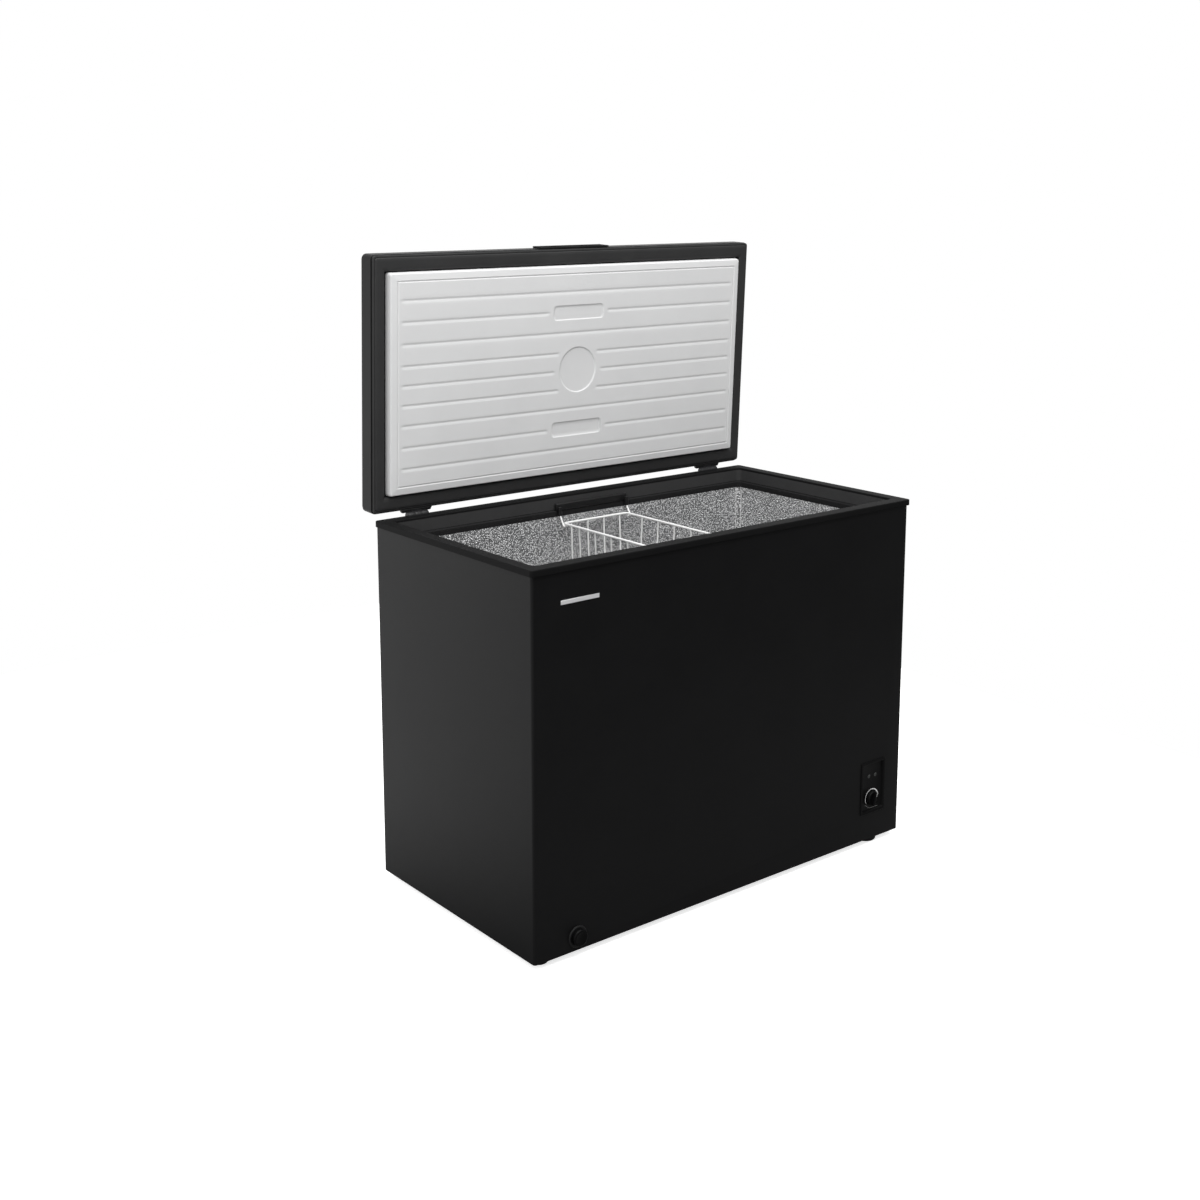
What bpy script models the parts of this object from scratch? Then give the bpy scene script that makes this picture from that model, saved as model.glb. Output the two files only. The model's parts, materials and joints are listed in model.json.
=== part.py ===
"""Chest freezer with its lid open, as an assembly of separate pieces.

Frame: metres, +Z up, +X to the right of someone facing the front, +Y towards the back.
The origin is on the floor, at the centre of the box that the open freezer fills.
The lid is built shut, in the space of its hinge axis, and a parent empty swings it open.
"""

from math import cos, pi, radians, sin

import bmesh
import bpy
from mathutils import Vector

# ---------------------------------------------------------------- driving dimensions
CABINET_W = 1.042  # outer width of the painted body
CABINET_D = 0.546  # outer depth of the painted body
RIM_Z = 0.791  # top of the black frame, where the gasket lands
FOOT_H = 0.014  # height of the feet
CENTRE_Y = -0.0213  # the body's centre, so that the open freezer is centred on the origin
SHEET = 0.001  # thickness of the painted steel
GAP = 0.0004  # clearance kept between touching pieces

LID_OPEN = radians(87.5)  # how far the lid stands open
LID_HALF_W = 0.527
LID_THICK = 0.042
SEAL_H = 0.009  # space under the shut lid that the gasket fills

HALF_W, HALF_D = CABINET_W / 2, CABINET_D / 2
FRONT, BACK = CENTRE_Y - HALF_D, CENTRE_Y + HALF_D

RIM_INSET = 0.0235  # from the body's side to the mouth of the frame
LEDGE_INSET = 0.0322  # from the body's side to the lower band under the basket ledge
RAIL_EXTRA = 0.0025  # how much wider the front and rear walls are than the side walls
LEDGE_DROP = 0.033  # the basket ledge, below the rim
BAND_DROP = 0.0458  # the foot of the lower band, where the liner starts

LINER_T = 0.0012
LINER_INSET = 0.0332
LINER_FLOOR_Z = 0.076
STEP_X = 0.262  # the liner's raised step over the compressor starts here
STEP_Z = 0.300
ENGINE_X = 0.300  # the compressor compartment's inner wall
ENGINE_TOP = 0.2615

PIVOT_Y, PIVOT_Z = BACK + 0.004, RIM_Z - 0.0014  # the lid's hinge axis
HINGE_X = 0.420  # each hinge's middle, left and right

BASKET_X = (-0.067, 0.1175)
BASKET_HALF_L = 0.225
BASKET_TOP = 0.731
BASKET_H = 0.200
RING_R, WIRE_R, BAIL_R = 0.0025, 0.0018, 0.0019  # radii of the basket's wires

DRAIN_X, DRAIN_Z, DRAIN_IN_Y = -0.417, 0.043, FRONT + 0.075
PANEL_X, PANEL_Z = 0.431, 0.138
KNOB_DROP = 0.0275  # the dial's centre, below the control panel's centre
KNOB_TURN = radians(-18)  # the pointer's lean at rest
ENGINE_Y = CENTRE_Y + 0.06  # the compressor's middle
ENGINE_MID_X = 0.412

FACING_FRONT = (pi / 2, 0, 0)  # turns a piece's own +Z to face forward
FACING_BACK = (pi / 2, 0, pi)

CORNER_STEPS = 3  # facets in each rounded corner of a loop


# ---------------------------------------------------------------- scene and materials
def clear_scene():
    for old in list(bpy.data.objects):
        bpy.data.objects.remove(old, do_unlink=True)


def collection(name):
    made = bpy.data.collections.new(name)
    bpy.context.scene.collection.children.link(made)
    return made


def material(name, colour, roughness, metallic=0.0):
    made = bpy.data.materials.new(name)
    made.use_nodes = True
    shader = made.node_tree.nodes["Principled BSDF"]
    shader.inputs["Base Color"].default_value = (*colour, 1.0)
    shader.inputs["Roughness"].default_value = roughness
    shader.inputs["Metallic"].default_value = metallic
    return made


clear_scene()
PARTS = collection("chest_freezer")
CUTTERS = collection("cutters")

BLACK_PAINT = material("black_paint", (0.013, 0.013, 0.014), 0.45)
BLACK_PLASTIC = material("black_plastic", (0.016, 0.016, 0.017), 0.55)
BLACK_RUBBER = material("black_rubber", (0.012, 0.012, 0.012), 0.7)
WHITE_PLASTIC = material("white_plastic", (0.78, 0.79, 0.80), 0.4)
STUCCO = material("stucco_aluminium", (0.62, 0.63, 0.64), 0.35, 1.0)
WHITE_WIRE = material("white_wire", (0.82, 0.82, 0.81), 0.35)
FOAM = material("foam", (0.72, 0.60, 0.32), 0.9)
ZINC = material("zinc_steel", (0.55, 0.56, 0.58), 0.4, 1.0)
COPPER = material("copper", (0.72, 0.38, 0.24), 0.35, 1.0)
SILVER = material("silver_badge", (0.70, 0.71, 0.72), 0.3, 1.0)
LENS = material("lamp_lens", (0.10, 0.11, 0.10), 0.2)


# ---------------------------------------------------------------- shape helpers
def place(obj, finish, parent=None, where=PARTS):
    """Links an object into a collection, with its finish and its parent."""
    where.objects.link(obj)
    if finish:
        obj.data.materials.append(finish)
    if parent:
        obj.parent = parent
    return obj


def as_cutter(obj):
    obj.hide_render = True
    obj.display_type = "WIRE"
    return obj


def cut(obj, *cutters):
    for tool in cutters:
        step = obj.modifiers.new("cut_" + tool.name, "BOOLEAN")
        step.operation = "DIFFERENCE"
        step.object = tool
    return obj


def fuse(obj, *others):
    """Joins the others to obj; they stay as hidden guides."""
    for other in others:
        step = obj.modifiers.new("fuse_" + other.name, "BOOLEAN")
        step.operation = "UNION"
        step.object = other
    return obj


def loop(x0, x1, y0, y1, r, z, steps=CORNER_STEPS):
    """A level rectangle with round corners, as a list of points."""
    points = []
    corners = ((x1 - r, y1 - r, 0), (x0 + r, y1 - r, 1), (x0 + r, y0 + r, 2), (x1 - r, y0 + r, 3))
    for cx, cy, quarter in corners:
        for i in range(steps + 1):
            a = (quarter + i / steps) * pi / 2
            points.append(Vector((cx + r * cos(a), cy + r * sin(a), z)))
    return points


def body_loop(inset, z, r, x1=None):
    """A loop that follows the body's outline, set in from its faces. x1 moves the right side."""
    right = HALF_W - inset if x1 is None else x1
    return loop(-HALF_W + inset, right, FRONT + inset, BACK - inset, r, z)


def mouth_loop(inset, z, r, x1=None):
    """A loop like body_loop for the inner pieces, whose front and rear sit further in."""
    right = HALF_W - inset if x1 is None else x1
    deep = inset + RAIL_EXTRA
    return loop(-HALF_W + inset, right, FRONT + deep, BACK - deep, r, z)


def loft(name, loops, finish, parent=None, ring=False, where=PARTS):
    """A skin through loops that all have the same number of points: capped, or closed to a ring."""
    mesh = bpy.data.meshes.new(name)
    bm = bmesh.new()
    rows = [[bm.verts.new(p) for p in points] for points in loops]
    count = len(rows[0])
    pairs = list(zip(rows, rows[1:] + rows[:1])) if ring else list(zip(rows, rows[1:]))
    for low, high in pairs:
        for i in range(count):
            j = (i + 1) % count
            bm.faces.new((low[i], low[j], high[j], high[i]))
    if not ring:
        bm.faces.new(rows[0])
        bm.faces.new(rows[-1])
    bmesh.ops.recalc_face_normals(bm, faces=bm.faces)
    bm.to_mesh(mesh)
    bm.free()
    return place(bpy.data.objects.new(name, mesh), finish, parent, where)


def box(name, low, high, finish=None, parent=None, bevel=0.0, where=PARTS):
    """A block from its two corners, with its edges eased by bevel."""
    low, high = Vector(low), Vector(high)
    mesh = bpy.data.meshes.new(name)
    bm = bmesh.new()
    bmesh.ops.create_cube(bm, size=1.0)
    bmesh.ops.scale(bm, vec=high - low, verts=bm.verts)
    bmesh.ops.translate(bm, vec=(low + high) / 2, verts=bm.verts)
    bm.to_mesh(mesh)
    bm.free()
    obj = place(bpy.data.objects.new(name, mesh), finish, parent, where)
    if bevel:
        step = obj.modifiers.new("eased_edges", "BEVEL")
        step.width = bevel
        step.segments = 1
    return obj


def box_cutter(name, low, high, parent=None):
    return as_cutter(box(name, low, high, parent=parent, where=CUTTERS))


def rod(name, centre, r, length, turn=(0, 0, 0), finish=None, parent=None, sides=16, where=PARTS):
    """A round bar about its own +Z, centred, then turned."""
    mesh = bpy.data.meshes.new(name)
    bm = bmesh.new()
    bmesh.ops.create_cone(bm, cap_ends=True, segments=sides, radius1=r, radius2=r, depth=length)
    bm.to_mesh(mesh)
    bm.free()
    obj = place(bpy.data.objects.new(name, mesh), finish, parent, where)
    obj.location = centre
    obj.rotation_euler = turn
    mesh.shade_smooth()
    mesh.set_sharp_from_angle(angle=radians(40))
    return obj


def rod_cutter(name, centre, r, length, turn=(0, 0, 0), parent=None, sides=16):
    return as_cutter(rod(name, centre, r, length, turn, parent=parent, sides=sides, where=CUTTERS))


def turned(name, profile, centre, finish=None, turn=(0, 0, 0), steps=20, where=PARTS):
    """A profile of (radius, height) points, listed down the outside, spun about its own +Z."""
    mesh = bpy.data.meshes.new(name)
    edges = [(i, i + 1) for i in range(len(profile) - 1)]
    if profile[0][0] > 0:
        edges.append((len(profile) - 1, 0))
    mesh.from_pydata([(r, 0, z) for r, z in profile], edges, [])
    obj = place(bpy.data.objects.new(name, mesh), finish, where=where)
    obj.location = centre
    obj.rotation_euler = turn
    spin = obj.modifiers.new("spin", "SCREW")
    spin.steps = spin.render_steps = steps
    spin.use_merge_vertices = True
    spin.merge_threshold = 0.00002
    return obj


def wire(name, points, r, finish, sides=6, closed=False, parent=None, where=PARTS):
    """A round wire or tube along points."""
    curve = bpy.data.curves.new(name, "CURVE")
    curve.dimensions = "3D"
    curve.bevel_depth = r
    curve.bevel_resolution = (sides - 4) // 2
    curve.use_fill_caps = not closed
    line = curve.splines.new("POLY")
    line.points.add(len(points) - 1)
    for spot, p in zip(line.points, points):
        spot.co = (*p, 1.0)
    line.use_cyclic_u = closed
    return place(bpy.data.objects.new(name, curve), finish, parent, where)


def as_mesh(obj, finish=None, where=CUTTERS):
    """A curve's mesh, welded, in an object of its own; the curve is removed."""
    bpy.context.view_layer.update()
    graph = bpy.context.evaluated_depsgraph_get()
    mesh = bpy.data.meshes.new_from_object(obj.evaluated_get(graph))
    bm = bmesh.new()
    bm.from_mesh(mesh)
    bmesh.ops.remove_doubles(bm, verts=bm.verts, dist=0.00001)
    bmesh.ops.recalc_face_normals(bm, faces=bm.faces)
    bm.to_mesh(mesh)
    bm.free()
    name, matrix = obj.name, obj.matrix_world.copy()
    bpy.data.objects.remove(obj, do_unlink=True)
    made = bpy.data.objects.new(name, mesh)
    mesh.materials.clear()
    place(made, finish, where=where)
    made.matrix_world = matrix
    return made


def bend(corner, before, after, r, steps=3):
    """Points of a round bend of radius about r at a corner, on the way from before to after."""
    corner, before, after = Vector(corner), Vector(before), Vector(after)
    start = corner + (before - corner).normalized() * r
    end = corner + (after - corner).normalized() * r
    curve = []
    for i in range(steps + 1):
        t = i / steps
        curve.append(start * (1 - t) ** 2 + corner * 2 * t * (1 - t) + end * t**2)
    return curve


def bent_line(points, r, steps=3):
    """A line through points, with every inner corner rounded."""
    line = [Vector(points[0])]
    for before, corner, after in zip(points, points[1:], points[2:]):
        line += bend(corner, before, after, r, steps)
    line.append(Vector(points[-1]))
    return line


# ---------------------------------------------------------------- cabinet
def cabinet_wrap():
    """One sheet of painted steel, folded round the left side, the front and the right side."""
    r, steps = 0.006, 4
    outline = [(-HALF_W, BACK)]
    for cx, first in ((-HALF_W + r, pi), (HALF_W - r, 1.5 * pi)):
        for i in range(steps + 1):
            a = first + i / steps * pi / 2
            outline.append((cx + r * cos(a), FRONT + r + r * sin(a)))
    outline.append((HALF_W, BACK))
    low, high = FOOT_H + GAP, RIM_Z - 0.0036
    mesh = bpy.data.meshes.new("cabinet_wrap")
    bm = bmesh.new()
    rows = [[bm.verts.new((x, y, z)) for x, y in outline] for z in (low, high)]
    for i in range(len(outline) - 1):
        bm.faces.new((rows[0][i], rows[0][i + 1], rows[1][i + 1], rows[1][i]))
    bm.to_mesh(mesh)
    bm.free()
    wrap = place(bpy.data.objects.new("cabinet_wrap", mesh), BLACK_PAINT)
    sheet = wrap.modifiers.new("sheet", "SOLIDIFY")
    sheet.thickness = SHEET
    sheet.offset = -1
    panel_hole = box_cutter(
        "panel_hole",
        (PANEL_X - 0.0352, FRONT - 0.01, PANEL_Z - 0.0572),
        (PANEL_X + 0.0352, FRONT + 0.01, PANEL_Z + 0.0572),
    )
    drain_hole = rod_cutter("drain_hole", (DRAIN_X, FRONT, DRAIN_Z), 0.0153, 0.02, FACING_FRONT)
    vent_hole = box_cutter(
        "vent_hole",
        (HALF_W - 0.01, CENTRE_Y - 0.105, 0.062),
        (HALF_W + 0.01, CENTRE_Y + 0.135, 0.182),
    )
    return cut(wrap, panel_hole, drain_hole, vent_hole)


def back_and_bottom():
    """The flat sheets that shut the back and the underside, and the louvred cover of the compressor."""
    side = HALF_W - SHEET - 0.0005
    low, high = (-side, BACK - SHEET, FOOT_H + GAP), (side, BACK, RIM_Z - 0.0135)
    panel = box("back_panel", low, high, BLACK_PAINT)
    opening = box_cutter("engine_opening", (0.312, BACK - 0.01, 0.030), (0.503, BACK + 0.01, 0.205))
    cord_hole = rod_cutter("cord_hole", (0.450, BACK, 0.232), 0.0080, 0.02, FACING_BACK)
    cut(panel, opening, cord_hole)
    y0, y1, z = FRONT + SHEET + GAP, BACK - SHEET - GAP, FOOT_H + GAP
    right = ENGINE_X - 0.0006
    loft("bottom_pan", [loop(-side, right, y0, y1, 0.007, h) for h in (z, z + SHEET)], ZINC)
    cover = box(
        "compressor_cover",
        (0.304, BACK + GAP, 0.022),
        (0.511, BACK + GAP + 0.0015, 0.213),
        BLACK_PAINT,
    )
    for i in range(9):
        z = 0.046 + i * 0.018
        cut(cover, box_cutter(f"louvre_{i}", (0.330, BACK - 0.01, z), (0.485, BACK + 0.01, z + 0.007)))


def side_vent():
    """The plastic grille on the right side, over the compressor."""
    x = HALF_W + GAP
    vent = box(
        "side_vent",
        (x, CENTRE_Y - 0.113, 0.054),
        (x + 0.0028, CENTRE_Y + 0.143, 0.190),
        BLACK_PLASTIC,
        bevel=0.001,
    )
    for i in range(12):
        y = CENTRE_Y - 0.0925 + i * 0.0185
        cut(vent, box_cutter(f"vent_slot_{i}", (x - 0.01, y, 0.074), (x + 0.01, y + 0.009, 0.170)))


def foam_body():
    """The poured foam between the steel and the liner, with room for both coils and the drain."""
    out, inner, wide, r = 0.0078, 0.0210, 0.010, 0.004
    floor, riser = LINER_FLOOR_Z - LINER_T - 0.0003, STEP_X + LINER_T + 0.0003
    step = STEP_Z - LINER_T - 0.0003
    foam = loft(
        "foam_body",
        [
            body_loop(out, FOOT_H + 0.003, wide, ENGINE_X),
            body_loop(out, ENGINE_TOP, wide, ENGINE_X),
            body_loop(out, ENGINE_TOP + 0.001, wide),
            body_loop(out, RIM_Z - 0.0038, wide),
            mouth_loop(inner, RIM_Z - 0.0038, r),
            mouth_loop(inner, step, r),
            mouth_loop(inner, step - 0.001, r, riser),
            mouth_loop(inner, floor, r, riser),
        ],
        FOAM,
    )
    socket = box_cutter(
        "drain_channel", (DRAIN_X - 0.017, FRONT - 0.01, 0.0255), (DRAIN_X + 0.017, FRONT + 0.088, 0.0605)
    )
    riser_hole = box_cutter(
        "drain_riser",
        (DRAIN_X - 0.0125, DRAIN_IN_Y - 0.0125, 0.050),
        (DRAIN_X + 0.0125, DRAIN_IN_Y + 0.0125, 0.090),
    )
    return cut(foam, socket, riser_hole)


def inner_liner():
    """The embossed aluminium tub, with the step over the compressor and a drain hole."""
    t, r = LINER_T, 0.003
    top = RIM_Z - BAND_DROP - 0.0004
    outer = LINER_INSET - t
    liner = loft(
        "inner_liner",
        [
            mouth_loop(outer, LINER_FLOOR_Z - t, r + t, STEP_X + t),
            mouth_loop(outer, STEP_Z - 0.001 - t, r + t, STEP_X + t),
            mouth_loop(outer, STEP_Z - t, r + t),
            mouth_loop(outer, top, r + t),
            mouth_loop(LINER_INSET, top, r),
            mouth_loop(LINER_INSET, STEP_Z, r),
            mouth_loop(LINER_INSET, STEP_Z - 0.001, r, STEP_X),
            mouth_loop(LINER_INSET, LINER_FLOOR_Z, r, STEP_X),
        ],
        STUCCO,
    )
    hole = rod_cutter("liner_drain_hole", (DRAIN_X, DRAIN_IN_Y, LINER_FLOOR_Z), 0.0102, 0.02)
    return cut(liner, hole)


def top_frame():
    """The black frame round the mouth: a lip over the steel, a deep wall, a ledge and a lower band."""
    z = RIM_Z
    profile = [
        (-0.0040, z - 0.0130, 0.0060),
        (-0.0040, z - 0.0020, 0.0060),
        (-0.0020, z, 0.0050),
        (RIM_INSET - 0.0020, z, 0.0050),
        (RIM_INSET, z - 0.0020, 0.0040),
        (RIM_INSET + 0.0006, z - LEDGE_DROP + 0.0015, 0.0040),
        (RIM_INSET + 0.0022, z - LEDGE_DROP, 0.0040),
        (LEDGE_INSET - 0.0012, z - LEDGE_DROP, 0.0035),
        (LEDGE_INSET, z - LEDGE_DROP - 0.0012, 0.0030),
        (LEDGE_INSET, z - BAND_DROP, 0.0030),
        (LEDGE_INSET - 0.0022, z - BAND_DROP, 0.0045),
        (LEDGE_INSET - 0.0022, z - LEDGE_DROP - 0.0024, 0.0045),
        (RIM_INSET - 0.0014, z - LEDGE_DROP - 0.0024, 0.0050),
        (RIM_INSET - 0.0014, z - 0.0032, 0.0050),
        (-0.0006, z - 0.0032, 0.0012),
        (-0.0006, z - 0.0130, 0.0012),
    ]
    loops = [mouth_loop(i, h, r) if i > 0.01 else body_loop(i, h, r) for i, h, r in profile]
    frame = loft("top_frame", loops, BLACK_PLASTIC, ring=True)
    for side in (-1, 1):
        x = side * HINGE_X
        notch = box_cutter(
            f"hinge_notch_{'left' if side < 0 else 'right'}",
            (x - 0.025, BACK - 0.0020, RIM_Z - 0.016),
            (x + 0.025, BACK + 0.010, RIM_Z + 0.010),
        )
        cut(frame, notch)
    return frame


def feet():
    """Low round feet. The pair under the compressor is the wider one."""
    for end, x, r in (("left", -0.486, 0.019), ("right", 0.446, 0.026)):
        for row, y in (("front", FRONT + 0.034), ("rear", BACK - 0.034)):
            profile = [(0, FOOT_H), (r, FOOT_H), (r, 0.006), (r - 0.004, 0.0), (0, 0.0)]
            turned(f"foot_{row}_{end}", profile, (x, y, 0), BLACK_PLASTIC, steps=16)


# ---------------------------------------------------------------- refrigeration
def evaporator_coil():
    """The cold tube that climbs round the liner, in the space between liner and foam."""
    turns, low, high = 6, 0.335, 0.715
    around = mouth_loop(0.0272, 0, 0.006)
    total = turns * len(around)
    points = [
        (p.x, p.y, low + (high - low) * (t * len(around) + i) / total)
        for t in range(turns)
        for i, p in enumerate(around)
    ]
    wire("evaporator_coil", points, 0.0040, COPPER)


def condenser_coil():
    """The warm tube behind the painted steel: level runs round three sides, joined by bends."""
    inset, r, rows, low, pitch = 0.0044, 0.012, 7, 0.330, 0.060
    side = HALF_W - inset
    rear, front = BACK - 0.030, FRONT + inset
    points = []
    for row in range(rows):
        z = low + row * pitch
        run = bent_line([(-side, rear, z), (-side, front, z), (side, front, z), (side, rear, z)], r, 2)
        run = run if row % 2 == 0 else run[::-1]
        points += run
        if row < rows - 1:
            x = run[-1].x
            points += [Vector((x, rear + 0.012, z + 0.010)), Vector((x, rear + 0.012, z + pitch - 0.010))]
    wire("condenser_coil", points, 0.0024, COPPER)


def compressor_set():
    """The compressor on its rubber feet and base plate, its relay, drier and pipes."""
    side = HALF_W - SHEET - 0.0005
    x, y = ENGINE_MID_X, ENGINE_Y
    y0, y1, z = FRONT + SHEET + GAP, BACK - SHEET - GAP, FOOT_H + GAP
    base_top = z + 0.002
    loft("compressor_base", [loop(ENGINE_X, side, y0, y1, 0.007, h) for h in (z, base_top)], ZINC)
    foot_z = base_top + 0.0154
    for i, (dx, dy) in enumerate(((-0.062, -0.05), (0.062, -0.05), (-0.062, 0.05), (0.062, 0.05))):
        middle = (x + dx, y + dy, base_top + GAP + 0.0072)
        rod(f"compressor_grommet_{i + 1}", middle, 0.011, 0.0144, finish=BLACK_RUBBER, sides=12)
    plate = box(
        "engine_plate",
        (x - 0.078, y - 0.066, foot_z + GAP),
        (x + 0.078, y + 0.066, foot_z + GAP + 0.003),
        where=CUTTERS,
    )
    shell = turned(
        "compressor",
        [
            (0, 0.172),
            (0.030, 0.170),
            (0.054, 0.158),
            (0.068, 0.136),
            (0.072, 0.110),
            (0.072, 0.080),
            (0.0745, 0.079),
            (0.0745, 0.074),
            (0.072, 0.073),
            (0.071, 0.040),
            (0.062, 0.014),
            (0.045, 0.001),
            (0, 0.001),
        ],
        (x, y, foot_z),
        BLACK_PAINT,
    )
    fuse(shell, as_cutter(plate))
    box(
        "compressor_relay",
        (x - 0.028, y - 0.108, foot_z + 0.050),
        (x + 0.028, y - 0.0755, foot_z + 0.112),
        BLACK_PLASTIC,
        bevel=0.003,
    )
    turned(
        "filter_drier",
        [(0, 0.062), (0.004, 0.060), (0.009, 0.046), (0.009, -0.046), (0.004, -0.060), (0, -0.062)],
        (0.322, y - 0.150, 0.140),
        COPPER,
        steps=12,
    )
    suction = bent_line(
        [(0.336, y + 0.02, 0.150), (0.318, y + 0.02, 0.150), (0.318, y + 0.02, 0.256)], 0.012
    )
    wire("suction_pipe", suction, 0.0040, COPPER)
    discharge = bent_line(
        [
            (x + 0.074, y + 0.030, 0.120),
            (0.500, y + 0.030, 0.120),
            (0.500, BACK - 0.020, 0.120),
            (0.500, BACK - 0.020, 0.252),
        ],
        0.012,
    )
    wire("discharge_pipe", discharge, 0.0026, COPPER)
    coil = [
        (0.322 + 0.014 * cos(a), y - 0.150 + 0.014 * sin(a), 0.206 + 0.004 * a / (2 * pi))
        for a in (i * pi / 4 for i in range(25))
    ]
    wire("capillary_coil", coil, 0.0010, COPPER, sides=4)


def cord_gland():
    """The plastic bush in the back panel where the mains lead would enter."""
    bush = [
        (0.0040, 0.007),
        (0.0100, 0.007),
        (0.0115, 0.004),
        (0.0115, GAP),
        (0.0074, GAP),
        (0.0074, -0.008),
        (0.0040, -0.008),
    ]
    turned("cord_gland", bush, (0.450, BACK, 0.232), BLACK_PLASTIC, FACING_BACK, steps=16)


# ---------------------------------------------------------------- drain
def drain():
    """A plug in the floor, a tube through the foam, a socket in the front and its cap."""
    socket = [
        (0.0125, 0.003),
        (0.0205, 0.003),
        (0.0225, 0.0015),
        (0.0225, GAP),
        (0.0148, GAP),
        (0.0148, -0.020),
        (0.0125, -0.020),
    ]
    mouth = (DRAIN_X, FRONT, DRAIN_Z)
    turned("drain_socket", socket, mouth, BLACK_PLASTIC, FACING_FRONT, steps=24)
    cap = [
        (0, 0.0130),
        (0.0155, 0.0130),
        (0.0175, 0.0112),
        (0.0180, 0.0034),
        (0.0121, 0.0034),
        (0.0115, -0.014),
        (0, -0.014),
    ]
    turned("drain_cap", cap, mouth, BLACK_PLASTIC, FACING_FRONT, steps=24)
    route = bent_line(
        [
            (DRAIN_X, FRONT + 0.0215, DRAIN_Z),
            (DRAIN_X, DRAIN_IN_Y, DRAIN_Z),
            (DRAIN_X, DRAIN_IN_Y, 0.0585),
        ],
        0.012,
    )
    wire("drain_tube", route, 0.0075, WHITE_PLASTIC, sides=8)
    plug = [
        (0, 0.0085),
        (0.0050, 0.0080),
        (0.0060, 0.0040),
        (0.0140, 0.0034),
        (0.0140, GAP),
        (0.0092, GAP),
        (0.0085, -0.0150),
        (0, -0.0150),
    ]
    turned("drain_plug", plug, (DRAIN_X, DRAIN_IN_Y, LINER_FLOOR_Z), WHITE_PLASTIC, steps=16)


# ---------------------------------------------------------------- controls and badge
def controls():
    """The control panel low on the right of the front, with its dial, lamps and thermostat."""
    origin = (PANEL_X, FRONT, PANEL_Z)
    rings = [
        (0.0345, 0.0565, 0.0020, -0.0100),
        (0.0345, 0.0565, 0.0020, 0.0004),
        (0.0400, 0.0620, 0.0040, 0.0004),
        (0.0400, 0.0620, 0.0040, 0.0012),
        (0.0392, 0.0612, 0.0036, 0.0020),
        (0.0340, 0.0560, 0.0030, 0.0020),
        (0.0320, 0.0540, 0.0030, -0.0022),
    ]
    panel = loft("control_panel", [loop(-w, w, -h, h, r, z) for w, h, r, z in rings], BLACK_PLASTIC)
    panel.location = origin
    panel.rotation_euler = FACING_FRONT
    dial = (PANEL_X, FRONT, PANEL_Z - KNOB_DROP)
    cut(panel, rod_cutter("shaft_hole", dial, 0.0042, 0.06, FACING_FRONT))

    knob = turned(
        "thermostat_knob",
        [
            (0, 0.0060),
            (0.0150, 0.0060),
            (0.0163, 0.0045),
            (0.0170, -0.0018),
            (0.0032, -0.0018),
            (0.0032, -0.0240),
            (0, -0.0240),
        ],
        dial,
        BLACK_PLASTIC,
        steps=24,
    )
    knob.rotation_euler = (pi / 2, 0, 0)
    low, high = (-0.0034, -0.0150, 0.0040), (0.0034, 0.0150, 0.0125)
    grip = box("knob_grip", low, high, bevel=0.0012, where=CUTTERS)
    lean_grip(grip)
    grip.location = dial
    grip.rotation_euler = FACING_FRONT
    fuse(knob, as_cutter(grip))

    thermostat = box(
        "thermostat",
        (PANEL_X - 0.024, FRONT + 0.0110, PANEL_Z - KNOB_DROP - 0.018),
        (PANEL_X + 0.024, FRONT + 0.0480, PANEL_Z - KNOB_DROP + 0.018),
        ZINC,
    )
    bore = (dial[0], FRONT + 0.018, dial[2])
    cut(thermostat, rod_cutter("thermostat_bore", bore, 0.0042, 0.020, FACING_FRONT))
    for name, dx in (("power_lamp", -0.0105), ("fast_freeze_lamp", 0.0105)):
        where = (PANEL_X + dx, FRONT + 0.0022 - 0.0010, PANEL_Z + 0.0255)
        rod(name, where, 0.0026, 0.0012, FACING_FRONT, LENS, sides=12)


def lean_grip(grip):
    """Leans the dial's grip to where it points at rest, about the dial's own axis."""
    for vertex in grip.data.vertices:
        x, y = vertex.co.x, vertex.co.y
        vertex.co.x = x * cos(KNOB_TURN) - y * sin(KNOB_TURN)
        vertex.co.y = x * sin(KNOB_TURN) + y * cos(KNOB_TURN)


def badge():
    """A plain bright strip at the top left of the front."""
    low, high = (-0.455, FRONT - 0.0017, 0.7145), (-0.363, FRONT - 0.0004, 0.7230)
    box("badge", low, high, SILVER, bevel=0.0004)


# ---------------------------------------------------------------- lid, built shut round its hinge axis
LID_FRONT, LID_REAR = -0.5543, -0.0113
LID_LOW = SEAL_H + 0.0014
LID_TOP = LID_LOW + LID_THICK
LINER_MID = -0.2823  # the middle of the lid's white liner, front to back
LINER_HALF = (0.4910, 0.2355)  # the liner's half width and half depth at its foot
PLATEAU_Z = -0.0069  # the liner's raised face
GROOVE_DEPTH = 0.0016
LINER_SKIN = 0.0030
LONG_GROOVE_X = 0.4560
DISH_Y, DISH_R = -0.2831, 0.0520


def lid_loop(inset, z, r):
    return loop(-LID_HALF_W + inset, LID_HALF_W - inset, LID_FRONT + inset, LID_REAR - inset, r, z)


def liner_loop(inset, z, r):
    half_x, half_y = LINER_HALF
    y0, y1 = LINER_MID - half_y, LINER_MID + half_y
    return loop(-half_x + inset, half_x - inset, y0 + inset, y1 - inset, r, z)


def lid_pivot():
    pivot = bpy.data.objects.new("lid_pivot", None)
    PARTS.objects.link(pivot)
    pivot.location = (0, PIVOT_Y, PIVOT_Z)
    pivot.rotation_euler = (-LID_OPEN, 0, 0)
    return pivot


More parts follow.
